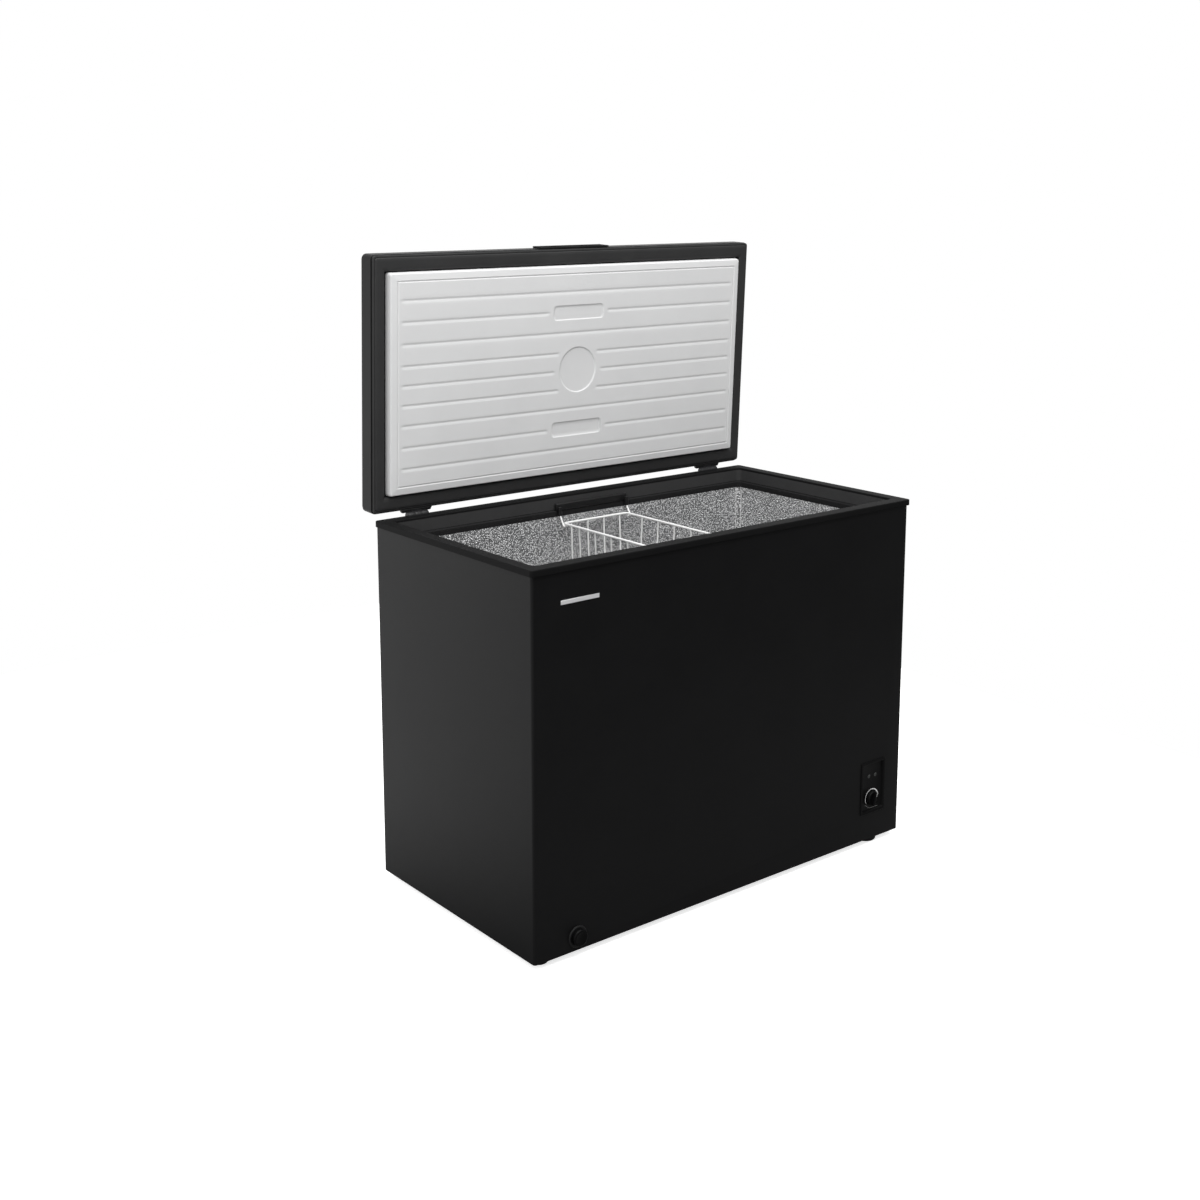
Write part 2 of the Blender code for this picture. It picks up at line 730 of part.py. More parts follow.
def lid_shell(pivot):
    """The painted steel tray, the frame inside its edge, the foam and the gasket."""
    t = SHEET
    handle_hole = box_cutter(
        "handle_hole", (-0.0904, LID_FRONT - 0.010, 0.0128), (0.0904, LID_FRONT + 0.0184, 0.0434), pivot
    )
    skin = loft(
        "lid_skin",
        [
            lid_loop(0.0070 + t, LID_TOP - t, 0.006),
            lid_loop(0.0026 + t, LID_TOP - 0.0018 - t, 0.008),
            lid_loop(t, LID_TOP - 0.0070, 0.009),
            lid_loop(t, LID_LOW, 0.009),
            lid_loop(0, LID_LOW, 0.010),
            lid_loop(0, LID_TOP - 0.0070, 0.010),
            lid_loop(0.0022, LID_TOP - 0.0020, 0.009),
            lid_loop(0.0070, LID_TOP, 0.006),
        ],
        BLACK_PAINT,
        pivot,
    )
    cut(skin, handle_hole)
    foam = loft(
        "lid_foam",
        [
            liner_loop(0.0090, PLATEAU_Z + LINER_SKIN + 0.0005, 0.008),
            liner_loop(0.0050, LID_LOW + 0.0024, 0.008),
            lid_loop(0.0018, LID_LOW + 0.0034, 0.008),
            lid_loop(0.0018, LID_TOP - 0.0090, 0.008),
            lid_loop(0.0100, LID_TOP - 0.0026, 0.006),
        ],
        FOAM,
        pivot,
    )
    cut(foam, handle_hole)
    half_x, half_y = LINER_HALF
    hole = (-half_x - 0.0006, half_x + 0.0006, LINER_MID - half_y - 0.0006, LINER_MID + half_y + 0.0006)
    loft(
        "lid_frame",
        [
            lid_loop(t + 0.0004, LID_LOW, 0.008),
            lid_loop(t + 0.0004, LID_LOW + 0.0020, 0.008),
            loop(*hole, 0.005, LID_LOW + 0.0020),
            loop(*hole, 0.005, LID_LOW),
        ],
        BLACK_PLASTIC,
        pivot,
        ring=True,
    )
    seal_top, seal_foot = LID_LOW - 0.0004, 0.0014 + 0.0005
    outer = (-0.5240, 0.5240, -0.5530, -0.0144)
    inner = (-0.4975, 0.4975, -0.5251, -0.0396)
    ease = 0.0015
    loft(
        "lid_gasket",
        [
            loop(*outer, 0.008, seal_top),
            loop(*outer, 0.008, seal_foot + ease),
            loop(-0.5225, 0.5225, -0.5515, -0.0159, 0.007, seal_foot),
            loop(-0.4990, 0.4990, -0.5266, -0.0381, 0.007, seal_foot),
            loop(*inner, 0.006, seal_foot + ease),
            loop(*inner, 0.006, seal_top),
        ],
        BLACK_RUBBER,
        pivot,
        ring=True,
    )


def groove_rows():
    """Each pressed groove in the lid's liner: its row behind the hinge axis, and where it runs in X."""
    rows = (0.4586, 0.4131, 0.3666, 0.3209, 0.2796, 0.2376, 0.1945, 0.1481, 0.1026)
    starts = (None, 0.0900, None, 0.0610, 0.0730, 0.0610, None, 0.0900, None)
    for row, start in zip(rows, starts):
        if start is None:
            yield row, -LONG_GROOVE_X, LONG_GROOVE_X
        else:
            yield row, start, LONG_GROOVE_X
            yield row, -LONG_GROOVE_X, -start


def lid_liner(pivot):
    """The white formed liner: a raised tray with pressed grooves, two pockets and a round dish."""
    liner = loft(
        "lid_liner",
        [
            liner_loop(0.0050, PLATEAU_Z, 0.010),
            liner_loop(0.0036, PLATEAU_Z + 0.0022, 0.010),
            liner_loop(0.0012, LID_LOW - 0.0030, 0.008),
            liner_loop(0, LID_LOW + 0.0020, 0.006),
            liner_loop(0.0030, LID_LOW + 0.0020, 0.006),
            liner_loop(0.0078, PLATEAU_Z + LINER_SKIN, 0.008),
        ],
        WHITE_PLASTIC,
        pivot,
    )
    deep = PLATEAU_Z + GROOVE_DEPTH
    border = loft(
        "border_groove",
        [
            liner_loop(0.0178, PLATEAU_Z - 0.002, 0.008),
            liner_loop(0.0178, deep, 0.008),
            liner_loop(0.0202, deep, 0.006),
            liner_loop(0.0202, PLATEAU_Z - 0.002, 0.006),
        ],
        None,
        pivot,
        ring=True,
        where=CUTTERS,
    )
    cut(liner, as_cutter(border))
    for i, (row, x0, x1) in enumerate(groove_rows()):
        low = (x0, -row - 0.0030, PLATEAU_Z - 0.002)
        high = (x1, -row + 0.0030, deep)
        cut(liner, box_cutter(f"groove_{i}", low, high, pivot))
    cut(liner, rod_cutter("dish", (0, DISH_Y, PLATEAU_Z), DISH_R, 2 * GROOVE_DEPTH, parent=pivot, sides=32))
    for i, (row, half) in enumerate(((0.4131, 0.0165), (0.1492, 0.0170))):
        low = (-0.0710, -row - half, PLATEAU_Z - 0.002)
        high = (0.0710, -row + half, deep)
        cut(liner, box_cutter(f"pocket_{i}", low, high, pivot))


def lid_handle(pivot):
    """The plastic pull let into the lid's front edge, with a pocket for the fingers."""
    y = LID_FRONT
    low, high = (-0.0900, y - 0.0012, 0.0132), (0.0900, y + 0.0180, 0.0430)
    pull = box("lid_handle", low, high, BLACK_PLASTIC, pivot)
    low, high = (-0.0950, y - 0.0042, 0.0116), (0.0950, y - 0.0004, 0.0446)
    rim = box("handle_rim", low, high, parent=pivot, where=CUTTERS)
    fuse(pull, as_cutter(rim))
    low, high = (-0.0820, y - 0.010, 0.0165), (0.0820, y + 0.0155, 0.0350)
    cut(pull, box_cutter("handle_pocket", low, high, pivot))


# ---------------------------------------------------------------- hinges
def hinge(side, pivot):
    """One hinge: a spring box on the back wall, a pin, and an arm and a cover that ride on the lid."""
    name = "left" if side < 0 else "right"
    x = side * HINGE_X
    along = (0, pi / 2, 0)
    y, z = PIVOT_Y, PIVOT_Z
    top, low = RIM_Z - 0.0140, RIM_Z - 0.1200
    a, b = (x - 0.0340, BACK + GAP, low), (x + 0.0340, BACK + 0.0260, top)
    case = box(f"hinge_case_{name}", a, b, BLACK_PAINT)
    for i, (x0, x1) in enumerate(((x - 0.0240, x - 0.0126), (x + 0.0126, x + 0.0240))):
        a, b = (x0, BACK + GAP, top - 0.004), (x1, BACK + 0.0088, z)
        post = box(f"hinge_post_{name}_{i}", a, b, where=CUTTERS)
        part = f"hinge_knuckle_{name}_{i}"
        middle = ((x0 + x1) / 2, y, z)
        knuckle = rod(part, middle, 0.0048, x1 - x0, along, sides=12, where=CUTTERS)
        fuse(case, as_cutter(post), as_cutter(knuckle))
    a, b = (x - 0.0310, BACK + 0.0024, low - 0.01), (x + 0.0310, BACK + 0.0236, top - 0.003)
    room = box_cutter(f"spring_room_{name}", a, b)
    cut(case, room, rod_cutter(f"case_bore_{name}", (x, y, z), 0.0022, 0.060, along, sides=12))
    rod(f"hinge_pin_{name}", (x, y, z), 0.0019, 0.050, along, ZINC, sides=12)

    turns, steps = 8, 6
    coil = [
        (x + 0.0080 * cos(2 * pi * i / steps), BACK + 0.0130 + 0.0080 * sin(2 * pi * i / steps),
         low + 0.010 + i * 0.0107 / steps)
        for i in range(turns * steps + 1)
    ]
    wire(f"hinge_spring_{name}", coil, 0.0016, ZINC, sides=4)

    arm = rod(f"hinge_arm_{name}", (x, 0, 0), 0.0048, 0.0244, along, ZINC, pivot, sides=12)
    a, b = (x - 0.0122, -0.0100, 0.0024), (x + 0.0122, 0.0, 0.0046)
    web = box(f"arm_web_{name}", a, b, parent=pivot, where=CUTTERS)
    a, b = (x - 0.0122, -0.0109, 0.0024), (x + 0.0122, -0.0087, 0.0450)
    plate = box(f"arm_plate_{name}", a, b, parent=pivot, where=CUTTERS)
    fuse(arm, as_cutter(web), as_cutter(plate))
    cut(arm, rod_cutter(f"arm_bore_{name}", (x, 0, 0), 0.0022, 0.040, along, pivot, sides=12))

    outline = [(-0.0390, -0.0138), (0.0390, -0.0138), (0.0350, -0.0068), (-0.0350, -0.0068)]
    cover = loft(
        f"hinge_cover_{name}",
        [[Vector((x + px, py, h)) for px, py in outline] for h in (0.0022, 0.0098)],
        BLACK_PLASTIC,
        pivot,
    )
    a, b = (x - 0.0128, -0.0113, 0.0), (x + 0.0128, 0.0, 0.012)
    cut(cover, box_cutter(f"cover_slot_{name}", a, b, pivot))


# ---------------------------------------------------------------- basket
def basket():
    """The lift-out wire basket, with a bail and a black grip at each end."""
    x0, x1 = BASKET_X
    half, top, low = BASKET_HALF_L, BASKET_TOP, BASKET_TOP - BASKET_H
    taper = 0.010  # how far the sides lean in on the way down
    mid_x = (x0 + x1) / 2
    y0, y1 = CENTRE_Y - half, CENTRE_Y + half
    edge = wire("basket", loop(x0, x1, y0, y1, 0.006, top), RING_R, None, closed=True)
    ring = as_mesh(edge, WHITE_WIRE, PARTS)
    wires = []
    for level, drop in (("middle", 0.45), ("low", 0.80)):
        z, lean = top - BASKET_H * drop, taper * drop
        points = loop(x0 + lean, x1 - lean, y0 + lean, y1 - lean, 0.010, z, 2)
        band = wire(f"basket_band_{level}", points, WIRE_R, None, 4, closed=True, where=CUTTERS)
        wires.append(band)
    for i in range(-3, 4):
        y = CENTRE_Y + i * 0.056
        down, up = (x0 + 0.001, y, top), (x1 - 0.001, y, top)
        points = bent_line([down, (x0 + taper, y, low), (x1 - taper, y, low), up], 0.012, 2)
        wires.append(wire(f"basket_hoop_{i + 3}", points, WIRE_R, None, 4, where=CUTTERS))
    for i in range(4):
        x = mid_x + (i - 1.5) * 0.047
        under = low + 0.0022
        down, up = (x, y0 + 0.001, top), (x, y1 - 0.001, top)
        points = bent_line([down, (x, y0 + taper, under), (x, y1 - taper, under), up], 0.012, 2)
        wires.append(wire(f"basket_rib_{i}", points, WIRE_R, None, 4, where=CUTTERS))
    for line in wires:
        fuse(ring, as_cutter(as_mesh(line)))

    for end, sign in (("front", -1), ("rear", 1)):
        bail(end, sign, ring)


def bail(end, sign, ring):
    """A wire handle hooked under the basket's ring, with a black grip that lies on the ledge."""
    x0, x1 = BASKET_X[0] - 0.0050, BASKET_X[1] + 0.0050
    hook_y, hook_z = CENTRE_Y + sign * 0.2170, BASKET_TOP - 0.0050
    leg_y, bar_y = sign * 0.0145, sign * 0.0235
    ledge = RIM_Z - LEDGE_DROP - hook_z
    bar_z = ledge + 0.0065
    points = bent_line(
        [
            (x0 + 0.0090, 0, 0),
            (x0, 0, 0),
            (x0, leg_y, 0.0225),
            (x0, leg_y, bar_z),
            (x0, bar_y, bar_z),
            (x1, bar_y, bar_z),
            (x1, leg_y, bar_z),
            (x1, leg_y, 0.0225),
            (x1, 0, 0),
            (x1 - 0.0090, 0, 0),
        ],
        0.0030,
        2,
    )
    handle = wire(f"basket_handle_{end}", points, BAIL_R, WHITE_WIRE, parent=ring)
    handle.location = (0, hook_y, hook_z)

    inner, outer = sorted((bar_y - sign * 0.0045, bar_y + sign * 0.0050))
    low = (x0 - 0.0060, inner, ledge + GAP)
    high = (x1 + 0.0060, outer, ledge + 0.0164)
    grip = box(f"basket_grip_{end}", low, high, BLACK_PLASTIC, handle, bevel=0.0015)
    room = BAIL_R + GAP
    slots = [((x0 - room, bar_y - room, ledge - 0.01), (x1 + room, bar_y + room, bar_z + room))]
    near, far = sorted((bar_y, bar_y - sign * 0.012))
    slots += [((x - room, near, ledge - 0.01), (x + room, far, bar_z + room)) for x in (x0, x1)]
    for i, (a, b) in enumerate(slots):
        cut(grip, box_cutter(f"grip_slot_{end}_{i}", a, b, handle))


def rating_plate():
    """A blank plate on the back wall."""
    box("rating_plate", (-0.300, BACK + 0.0003, 0.430), (-0.210, BACK + 0.0009, 0.490), SILVER)


# ---------------------------------------------------------------- the freezer
def build():
    cabinet_wrap()
    back_and_bottom()
    side_vent()
    foam_body()
    inner_liner()
    top_frame()
    feet()
    evaporator_coil()
    condenser_coil()
    compressor_set()
    cord_gland()
    drain()
    controls()
    badge()
    rating_plate()
    pivot = lid_pivot()
    lid_shell(pivot)
    lid_liner(pivot)
    lid_handle(pivot)
    hinge(-1, pivot)
    hinge(1, pivot)
    basket()


build()
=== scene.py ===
from math import cos, pi, radians, sin

import bmesh
import bpy
import numpy as np
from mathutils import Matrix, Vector
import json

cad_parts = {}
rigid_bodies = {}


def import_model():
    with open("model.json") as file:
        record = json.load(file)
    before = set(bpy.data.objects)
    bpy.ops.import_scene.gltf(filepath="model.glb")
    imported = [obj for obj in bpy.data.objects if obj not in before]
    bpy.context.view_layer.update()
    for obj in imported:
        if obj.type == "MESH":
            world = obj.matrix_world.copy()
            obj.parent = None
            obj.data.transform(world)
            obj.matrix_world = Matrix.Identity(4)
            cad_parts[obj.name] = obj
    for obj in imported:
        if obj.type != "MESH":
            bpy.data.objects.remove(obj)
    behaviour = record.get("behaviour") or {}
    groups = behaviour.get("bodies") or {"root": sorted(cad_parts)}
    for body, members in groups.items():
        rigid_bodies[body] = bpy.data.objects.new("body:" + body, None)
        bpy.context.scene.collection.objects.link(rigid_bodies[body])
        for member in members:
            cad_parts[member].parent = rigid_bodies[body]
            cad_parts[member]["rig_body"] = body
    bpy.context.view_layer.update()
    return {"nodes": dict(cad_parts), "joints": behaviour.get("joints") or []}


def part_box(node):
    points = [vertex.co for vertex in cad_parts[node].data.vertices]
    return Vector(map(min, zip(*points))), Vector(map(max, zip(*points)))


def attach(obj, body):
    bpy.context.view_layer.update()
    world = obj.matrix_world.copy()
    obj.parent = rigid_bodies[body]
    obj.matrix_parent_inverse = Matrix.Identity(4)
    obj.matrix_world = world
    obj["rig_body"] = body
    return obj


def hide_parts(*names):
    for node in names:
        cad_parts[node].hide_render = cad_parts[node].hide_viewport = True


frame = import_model()
nodes = frame["nodes"]
joints = {joint["name"]: joint for joint in frame["joints"]}


# ------------------------------------------------------------ sizes in metres
# The first ones come from the frame. The lid's are about its hinge, with the lid shut.
wrap_low, wrap_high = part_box("cabinet_wrap")
LEFT, RIGHT = wrap_low.x, wrap_high.x
FRONT, BACK = wrap_low.y, wrap_high.y
CENTRE_Y = (FRONT + BACK) / 2
RIM_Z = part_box("top_frame")[1].z
HINGE = np.array(joints["lid_hinge"]["pos_m"])
LID_OPEN = radians(joints["lid_hinge"]["range_deg"][1])

RIM_INSET, LEDGE_INSET, RAIL_EXTRA = 0.0235, 0.0322, 0.0025
LEDGE_DROP, BAND_DROP = 0.033, 0.0458
LINER_INSET, LINER_FLOOR_Z = 0.0332, 0.076
STEP_X, STEP_Z = 0.262, 0.300
HINGE_X = 0.420

LID_HALF_W, LID_FRONT, LID_REAR, LID_LOW = 0.527, -0.5543, -0.0113, 0.0104
LINER_MID, LINER_HALF = -0.2823, (0.4910, 0.2355)
PLATEAU_Z = -0.0069
GROOVE_ROWS = np.array([0.4586, 0.4131, 0.3666, 0.3209, 0.2796, 0.2376, 0.1945, 0.1481, 0.1026])
GROOVE_STARTS = np.array([0.0, 0.0900, 0.0, 0.0610, 0.0730, 0.0610, 0.0, 0.0900, 0.0])
GROOVE_END = 0.4560
POCKETS = ((0.4131, 0.0165), (0.1492, 0.0170))
DISH_Y, DISH_R = -0.2831, 0.0520

BASKET_X0, BASKET_X1 = -0.067, 0.1175
BASKET_HALF_L, BASKET_TOP, BASKET_H = 0.225, 0.731, 0.200
RING_WIRE, WIRE = 0.0026, 0.0019
DRAIN_X, DRAIN_Z = -0.417, 0.043
DIAL = np.array(joints["knob_turn"]["pos_m"])
PANEL_X, PANEL_Z = DIAL[0], DIAL[2] + 0.0275
PRINT_Y = FRONT + 0.0022 - 0.0003  # just proud of the panel's recessed face
DRIER_X, DRIER_Y = 0.322, CENTRE_Y + 0.06 - 0.150


# ------------------------------------------------------------ meshes from arrays
def grid_faces(rows, columns, wrap_rows=False, wrap_columns=False):
    """Quads of a grid as an (n, 4) array: each joins a point, the next in its row, and the two below."""
    i = np.arange(rows if wrap_rows else rows - 1)
    j = np.arange(columns if wrap_columns else columns - 1)
    i, j = np.meshgrid(i, j, indexing="ij")
    below, right = (i + 1) % rows, (j + 1) % columns
    quads = np.stack([i * columns + j, i * columns + right, below * columns + right, below * columns + j], -1)
    return quads.reshape(-1, 4)


def piece(name, parts, finish, slot, body, *stands_for, outward=None, sharp=35.0):
    """One object from (grid, wrap rows, wrap columns, capped) parts.
    A closed piece has its faces turned outwards; an open one has them turned towards outward."""
    points, faces, start = [], [], 0
    for grid, wrap_rows, wrap_columns, capped in parts:
        rows, columns = grid.shape[:2]
        points.append(grid.reshape(-1, 3))
        faces += (grid_faces(rows, columns, wrap_rows, wrap_columns) + start).tolist()
        if capped:
            faces.append((np.arange(columns) + start).tolist())
            faces.append((np.arange(columns) + start + (rows - 1) * columns).tolist())
        start += rows * columns
    mesh = bpy.data.meshes.new(name)
    mesh.from_pydata(np.concatenate(points).tolist(), [], faces)
    return finished(name, mesh, finish, slot, body, *stands_for, outward=outward, sharp=sharp)


def finished(name, mesh, finish, slot, body, *stands_for, outward=None, sharp=35.0):
    """Welds a mesh, turns its faces, shades it smooth up to the sharp angle and puts it on its body."""
    bm = bmesh.new()
    bm.from_mesh(mesh)
    bmesh.ops.remove_doubles(bm, verts=bm.verts, dist=0.000002)
    bmesh.ops.recalc_face_normals(bm, faces=bm.faces)
    if outward is not None:
        facing = sum((face.normal * face.calc_area() for face in bm.faces), Vector())
        if facing.dot(Vector(outward)) < 0:
            bmesh.ops.reverse_faces(bm, faces=bm.faces)
    bm.to_mesh(mesh)
    bm.free()
    mesh.shade_smooth()
    mesh.set_sharp_from_angle(angle=radians(sharp))
    mesh.materials.clear()
    mesh.materials.append(finish)
    obj = bpy.data.objects.new(name, mesh)
    bpy.context.scene.collection.objects.link(obj)
    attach(obj, body)
    if stands_for:
        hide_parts(*stands_for)
    return obj


def eased_copy(node, finish, slot, ease=0.0005, segments=2, sharp=38.0):
    """The CAD node's own shape, welded, with its edges eased and its round faces smooth."""
    mesh = nodes[node].data.copy()
    bm = bmesh.new()
    bm.from_mesh(mesh)
    bmesh.ops.remove_doubles(bm, verts=bm.verts, dist=0.00001)
    bmesh.ops.dissolve_limit(bm, angle_limit=radians(0.4), verts=bm.verts, edges=bm.edges)
    bm.to_mesh(mesh)
    bm.free()
    obj = finished(node + "_finished", mesh, finish, slot, nodes[node]["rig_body"], node, sharp=sharp)
    if ease:
        step = obj.modifiers.new("eased_edges", "BEVEL")
        step.width = ease
        step.segments = segments
        step.limit_method = "ANGLE"
        step.angle_limit = radians(sharp)
        step.harden_normals = True
    return obj


# ------------------------------------------------------------ profiles and paths
def rounded(points, radius, steps=4):
    """A line through points with each inner corner swapped for a bend.
    The bend is the curve (1-t)^2 start + 2t(1-t) corner + t^2 end, from radius before to radius after."""
    points = np.asarray(points, float)
    corner, before, after = points[1:-1], points[:-2], points[2:]
    reach = np.broadcast_to(np.asarray(radius, float), len(corner))[:, None]
    back, on = before - corner, after - corner
    room_back = np.linalg.norm(back, axis=1, keepdims=True)
    room_on = np.linalg.norm(on, axis=1, keepdims=True)
    start = corner + back / room_back * np.minimum(reach, room_back * 0.49)
    end = corner + on / room_on * np.minimum(reach, room_on * 0.49)
    t = np.linspace(0, 1, steps + 1)[None, :, None]
    bends = start[:, None] * (1 - t) ** 2 + corner[:, None] * 2 * t * (1 - t) + end[:, None] * t**2
    return np.concatenate([points[:1], bends.reshape(-1, points.shape[1]), points[-1:]])


def outline(x0, x1, y0, y1, r, steps=6, rear=()):
    """A rectangle with round corners, as (n, 2): each corner is its centre plus r times a quarter circle.
    rear gives extra places along the rear side, from right to left."""
    a = (np.arange(4)[:, None] + np.linspace(0, 1, steps + 1)) * pi / 2
    cx = np.array([x1 - r, x0 + r, x0 + r, x1 - r])[:, None]
    cy = np.array([y1 - r, y1 - r, y0 + r, y0 + r])[:, None]
    corners = np.stack([cx + r * np.cos(a), cy + r * np.sin(a)], -1)
    extra = np.array([(x, y1) for x in rear], float).reshape(-1, 2)
    return np.concatenate([corners[0], extra, corners[1], corners[2], corners[3]])


def cut_outline(x0, x1, y0, y1, cut, r, steps=3):
    """A rectangle with its corners cut straight across, each of its eight bends rounded by r."""
    x = np.array([x1, x1 - cut, x0 + cut, x0, x0, x0 + cut, x1 - cut, x1])
    y = np.array([y1 - cut, y1, y1, y1 - cut, y0 + cut, y0, y0, y0 + cut])
    points = np.stack([x, y], -1)
    return rounded(np.concatenate([points[-1:], points, points[:1]]), r, steps)[1:-1]


def level(points, z):
    """A flat outline lifted to height z."""
    return np.concatenate([points, np.full((len(points), 1), z)], 1)


def tube(path, r, normal, sides=10, closed=False, ends=True):
    """A round wire: every point of path plus r (cos a n + sin a b) for a round the circle.
    n is normal with its part along the path taken away, and b is square to both."""
    path = np.asarray(path, float)
    if closed:
        along = np.roll(path, -1, 0) - np.roll(path, 1, 0)
    else:
        along = np.gradient(path, axis=0)
    along /= np.linalg.norm(along, axis=1, keepdims=True)
    n = np.broadcast_to(np.asarray(normal, float), path.shape)
    n = n - along * np.sum(n * along, 1, keepdims=True)
    n = n / np.linalg.norm(n, axis=1, keepdims=True)
    b = np.cross(along, n)
    a = np.linspace(0, 2 * pi, sides, endpoint=False)
    ring = np.cos(a)[None, :, None] * n[:, None] + np.sin(a)[None, :, None] * b[:, None]
    return path[:, None] + r * ring, closed, True, ends and not closed


def lathe(profile, centre, axis="z", steps=40, wave=None):
    """A profile of (radius, height) turned about an axis through centre.
    wave gives, for each angle, how much the radius grows where the profile's third column says."""
    profile = np.asarray(profile, float)
    a = np.linspace(0, 2 * pi, steps, endpoint=False)
    r = np.broadcast_to(profile[:, :1], (len(profile), steps))
    if wave is not None:
        r = r + profile[:, 2:3] * wave(a)[None, :]
    u, v = r * np.cos(a), r * np.sin(a)
    h = np.broadcast_to(profile[:, 1:2], r.shape)
    order = {"z": (u, v, h), "-y": (u, -h, v), "y": (u, h, v), "x": (h, u, v)}[axis]
    return np.stack(order, -1) + np.asarray(centre, float), False, True, False


def block(low, high, r=0.0008, steps=2):
    """A block with its corners and its two end faces eased: outlines that step in by r at both ends."""
    (x0, y0, z0), (x1, y1, z1) = low, high
    t = np.linspace(0, pi / 2, steps + 1)
    inset = np.concatenate([r * (1 - np.sin(t)), r * (1 - np.cos(t))])
    height = np.concatenate([z0 + r * (1 - np.cos(t)), z1 - r * (1 - np.sin(t))])
    inset[0] = r
    rings = [
        level(outline(x0 + i, x1 - i, y0 + i, y1 - i, r * 1.5 - i * 0.9, 3), z)
        for i, z in zip(inset, height)
    ]
    return np.stack(rings), False, True, True


def lid_space(points):
    """From the shut lid's own axes, about its hinge, to where the open lid stands: a turn back by the opening."""
    c, s = cos(-LID_OPEN), sin(-LID_OPEN)
    x, y, z = points[..., 0], points[..., 1], points[..., 2]
    return np.stack([x + HINGE[0], y * c - z * s + HINGE[1], y * s + z * c + HINGE[2]], -1)


def smooth(low, high, value):
    """Rises from 0 at low to 1 at high as 3t^2 - 2t^3."""
    t = np.clip((value - low) / (high - low), 0, 1)
    return t * t * (3 - 2 * t)


# ------------------------------------------------------------ shader groups
def group(name, inputs, outputs):
    """An empty shader group with number inputs and outputs, and its two end nodes."""
    made = bpy.data.node_groups.new(name, "ShaderNodeTree")
    for label, kind, value in inputs:
        socket = made.interface.new_socket(label, in_out="INPUT", socket_type=kind)
        if value is not None:
            socket.default_value = value
    for label, kind in outputs:
        made.interface.new_socket(label, in_out="OUTPUT", socket_type=kind)
    return made, made.nodes.new("NodeGroupInput"), made.nodes.new("NodeGroupOutput")


def node(tree, kind, settings=(), **sockets):
    """A node with its settings and plain socket values."""
    made = tree.nodes.new(kind)
    for key, value in dict(settings).items():
        setattr(made, key, value)
    for key, value in sockets.items():
        made.inputs[key.replace("_", " ")].default_value = value
    return made


def moulded_grain():
    """Fine grain of moulded or painted faces: two noises added, as a height and a slow mottle."""
    made, start, end = group(
        "moulded_grain",
        [
            ("Vector", "NodeSocketVector", None),
            ("Scale", "NodeSocketFloat", 900.0),
            ("Mottle Scale", "NodeSocketFloat", 9.0),
        ],
        [("Height", "NodeSocketFloat"), ("Mottle", "NodeSocketFloat")],
    )
    fine = node(made, "ShaderNodeTexNoise", Detail=3.0, Roughness=0.55)
    slow = node(made, "ShaderNodeTexNoise", Detail=4.0, Roughness=0.6)
    for source, target in (("Scale", fine), ("Mottle Scale", slow)):
        made.links.new(start.outputs["Vector"], target.inputs["Vector"])
        made.links.new(start.outputs[source], target.inputs["Scale"])
    made.links.new(fine.outputs["Fac"], end.inputs["Height"])
    made.links.new(slow.outputs["Fac"], end.inputs["Mottle"])
    return made


def stucco_relief():
    """Embossed aluminium: cells of about 3 mm pushed up as pebbles, with a little noise between them."""
    made, start, end = group(
        "stucco_relief",
        [("Vector", "NodeSocketVector", None), ("Scale", "NodeSocketFloat", 300.0)],
        [("Height", "NodeSocketFloat"), ("Crest", "NodeSocketFloat")],
    )
    wander = node(made, "ShaderNodeTexNoise", Scale=180.0, Detail=2.0)
    push = node(made, "ShaderNodeVectorMath", {"operation": "MULTIPLY_ADD"})
    push.inputs[1].default_value = (0.0030, 0.0030, 0.0030)
    cells = node(made, "ShaderNodeTexVoronoi", {"feature": "SMOOTH_F1"}, Smoothness=0.55)
    crest = node(made, "ShaderNodeMapRange", {"interpolation_type": "SMOOTHSTEP"})
    crest.inputs["From Min"].default_value = 0.56
    crest.inputs["From Max"].default_value = 0.25
    made.links.new(start.outputs["Vector"], wander.inputs["Vector"])
    made.links.new(wander.outputs["Color"], push.inputs[0])
    made.links.new(start.outputs["Vector"], push.inputs[2])
    made.links.new(push.outputs["Vector"], cells.inputs["Vector"])
    made.links.new(start.outputs["Scale"], cells.inputs["Scale"])
    made.links.new(cells.outputs["Distance"], crest.inputs["Value"])
    made.links.new(crest.outputs["Result"], end.inputs["Height"])
    made.links.new(crest.outputs["Result"], end.inputs["Crest"])
    return made


def brushed_lines():
    """Long scratches of brushed or drawn metal: noise stretched along X."""
    made, start, end = group(
        "brushed_lines",
        [("Vector", "NodeSocketVector", None), ("Scale", "NodeSocketFloat", 1500.0)],
        [("Lines", "NodeSocketFloat")],
    )
    stretch = node(made, "ShaderNodeMapping")
    stretch.inputs["Scale"].default_value = (0.02, 1.0, 1.0)
    lines = node(made, "ShaderNodeTexNoise", Detail=2.0)
    made.links.new(start.outputs["Vector"], stretch.inputs["Vector"])
    made.links.new(stretch.outputs["Vector"], lines.inputs["Vector"])
    made.links.new(start.outputs["Scale"], lines.inputs["Scale"])
    made.links.new(lines.outputs["Fac"], end.inputs["Lines"])
    return made


GRAIN, STUCCO, BRUSHED = moulded_grain(), stucco_relief(), brushed_lines()


def ranged(tree, source, span, low, high, settings=()):
    """Maps the two ends of span to low and high."""
    ramp = node(tree, "ShaderNodeMapRange", settings, From_Min=span[0], From_Max=span[1], To_Min=low, To_Max=high)
    tree.links.new(source, ramp.inputs["Value"])
    return ramp.outputs["Result"]


def between(tree, source, low, high):
    """Maps a 0.3 to 0.7 mask to a range of values."""
    return ranged(tree, source, (0.3, 0.7), low, high)


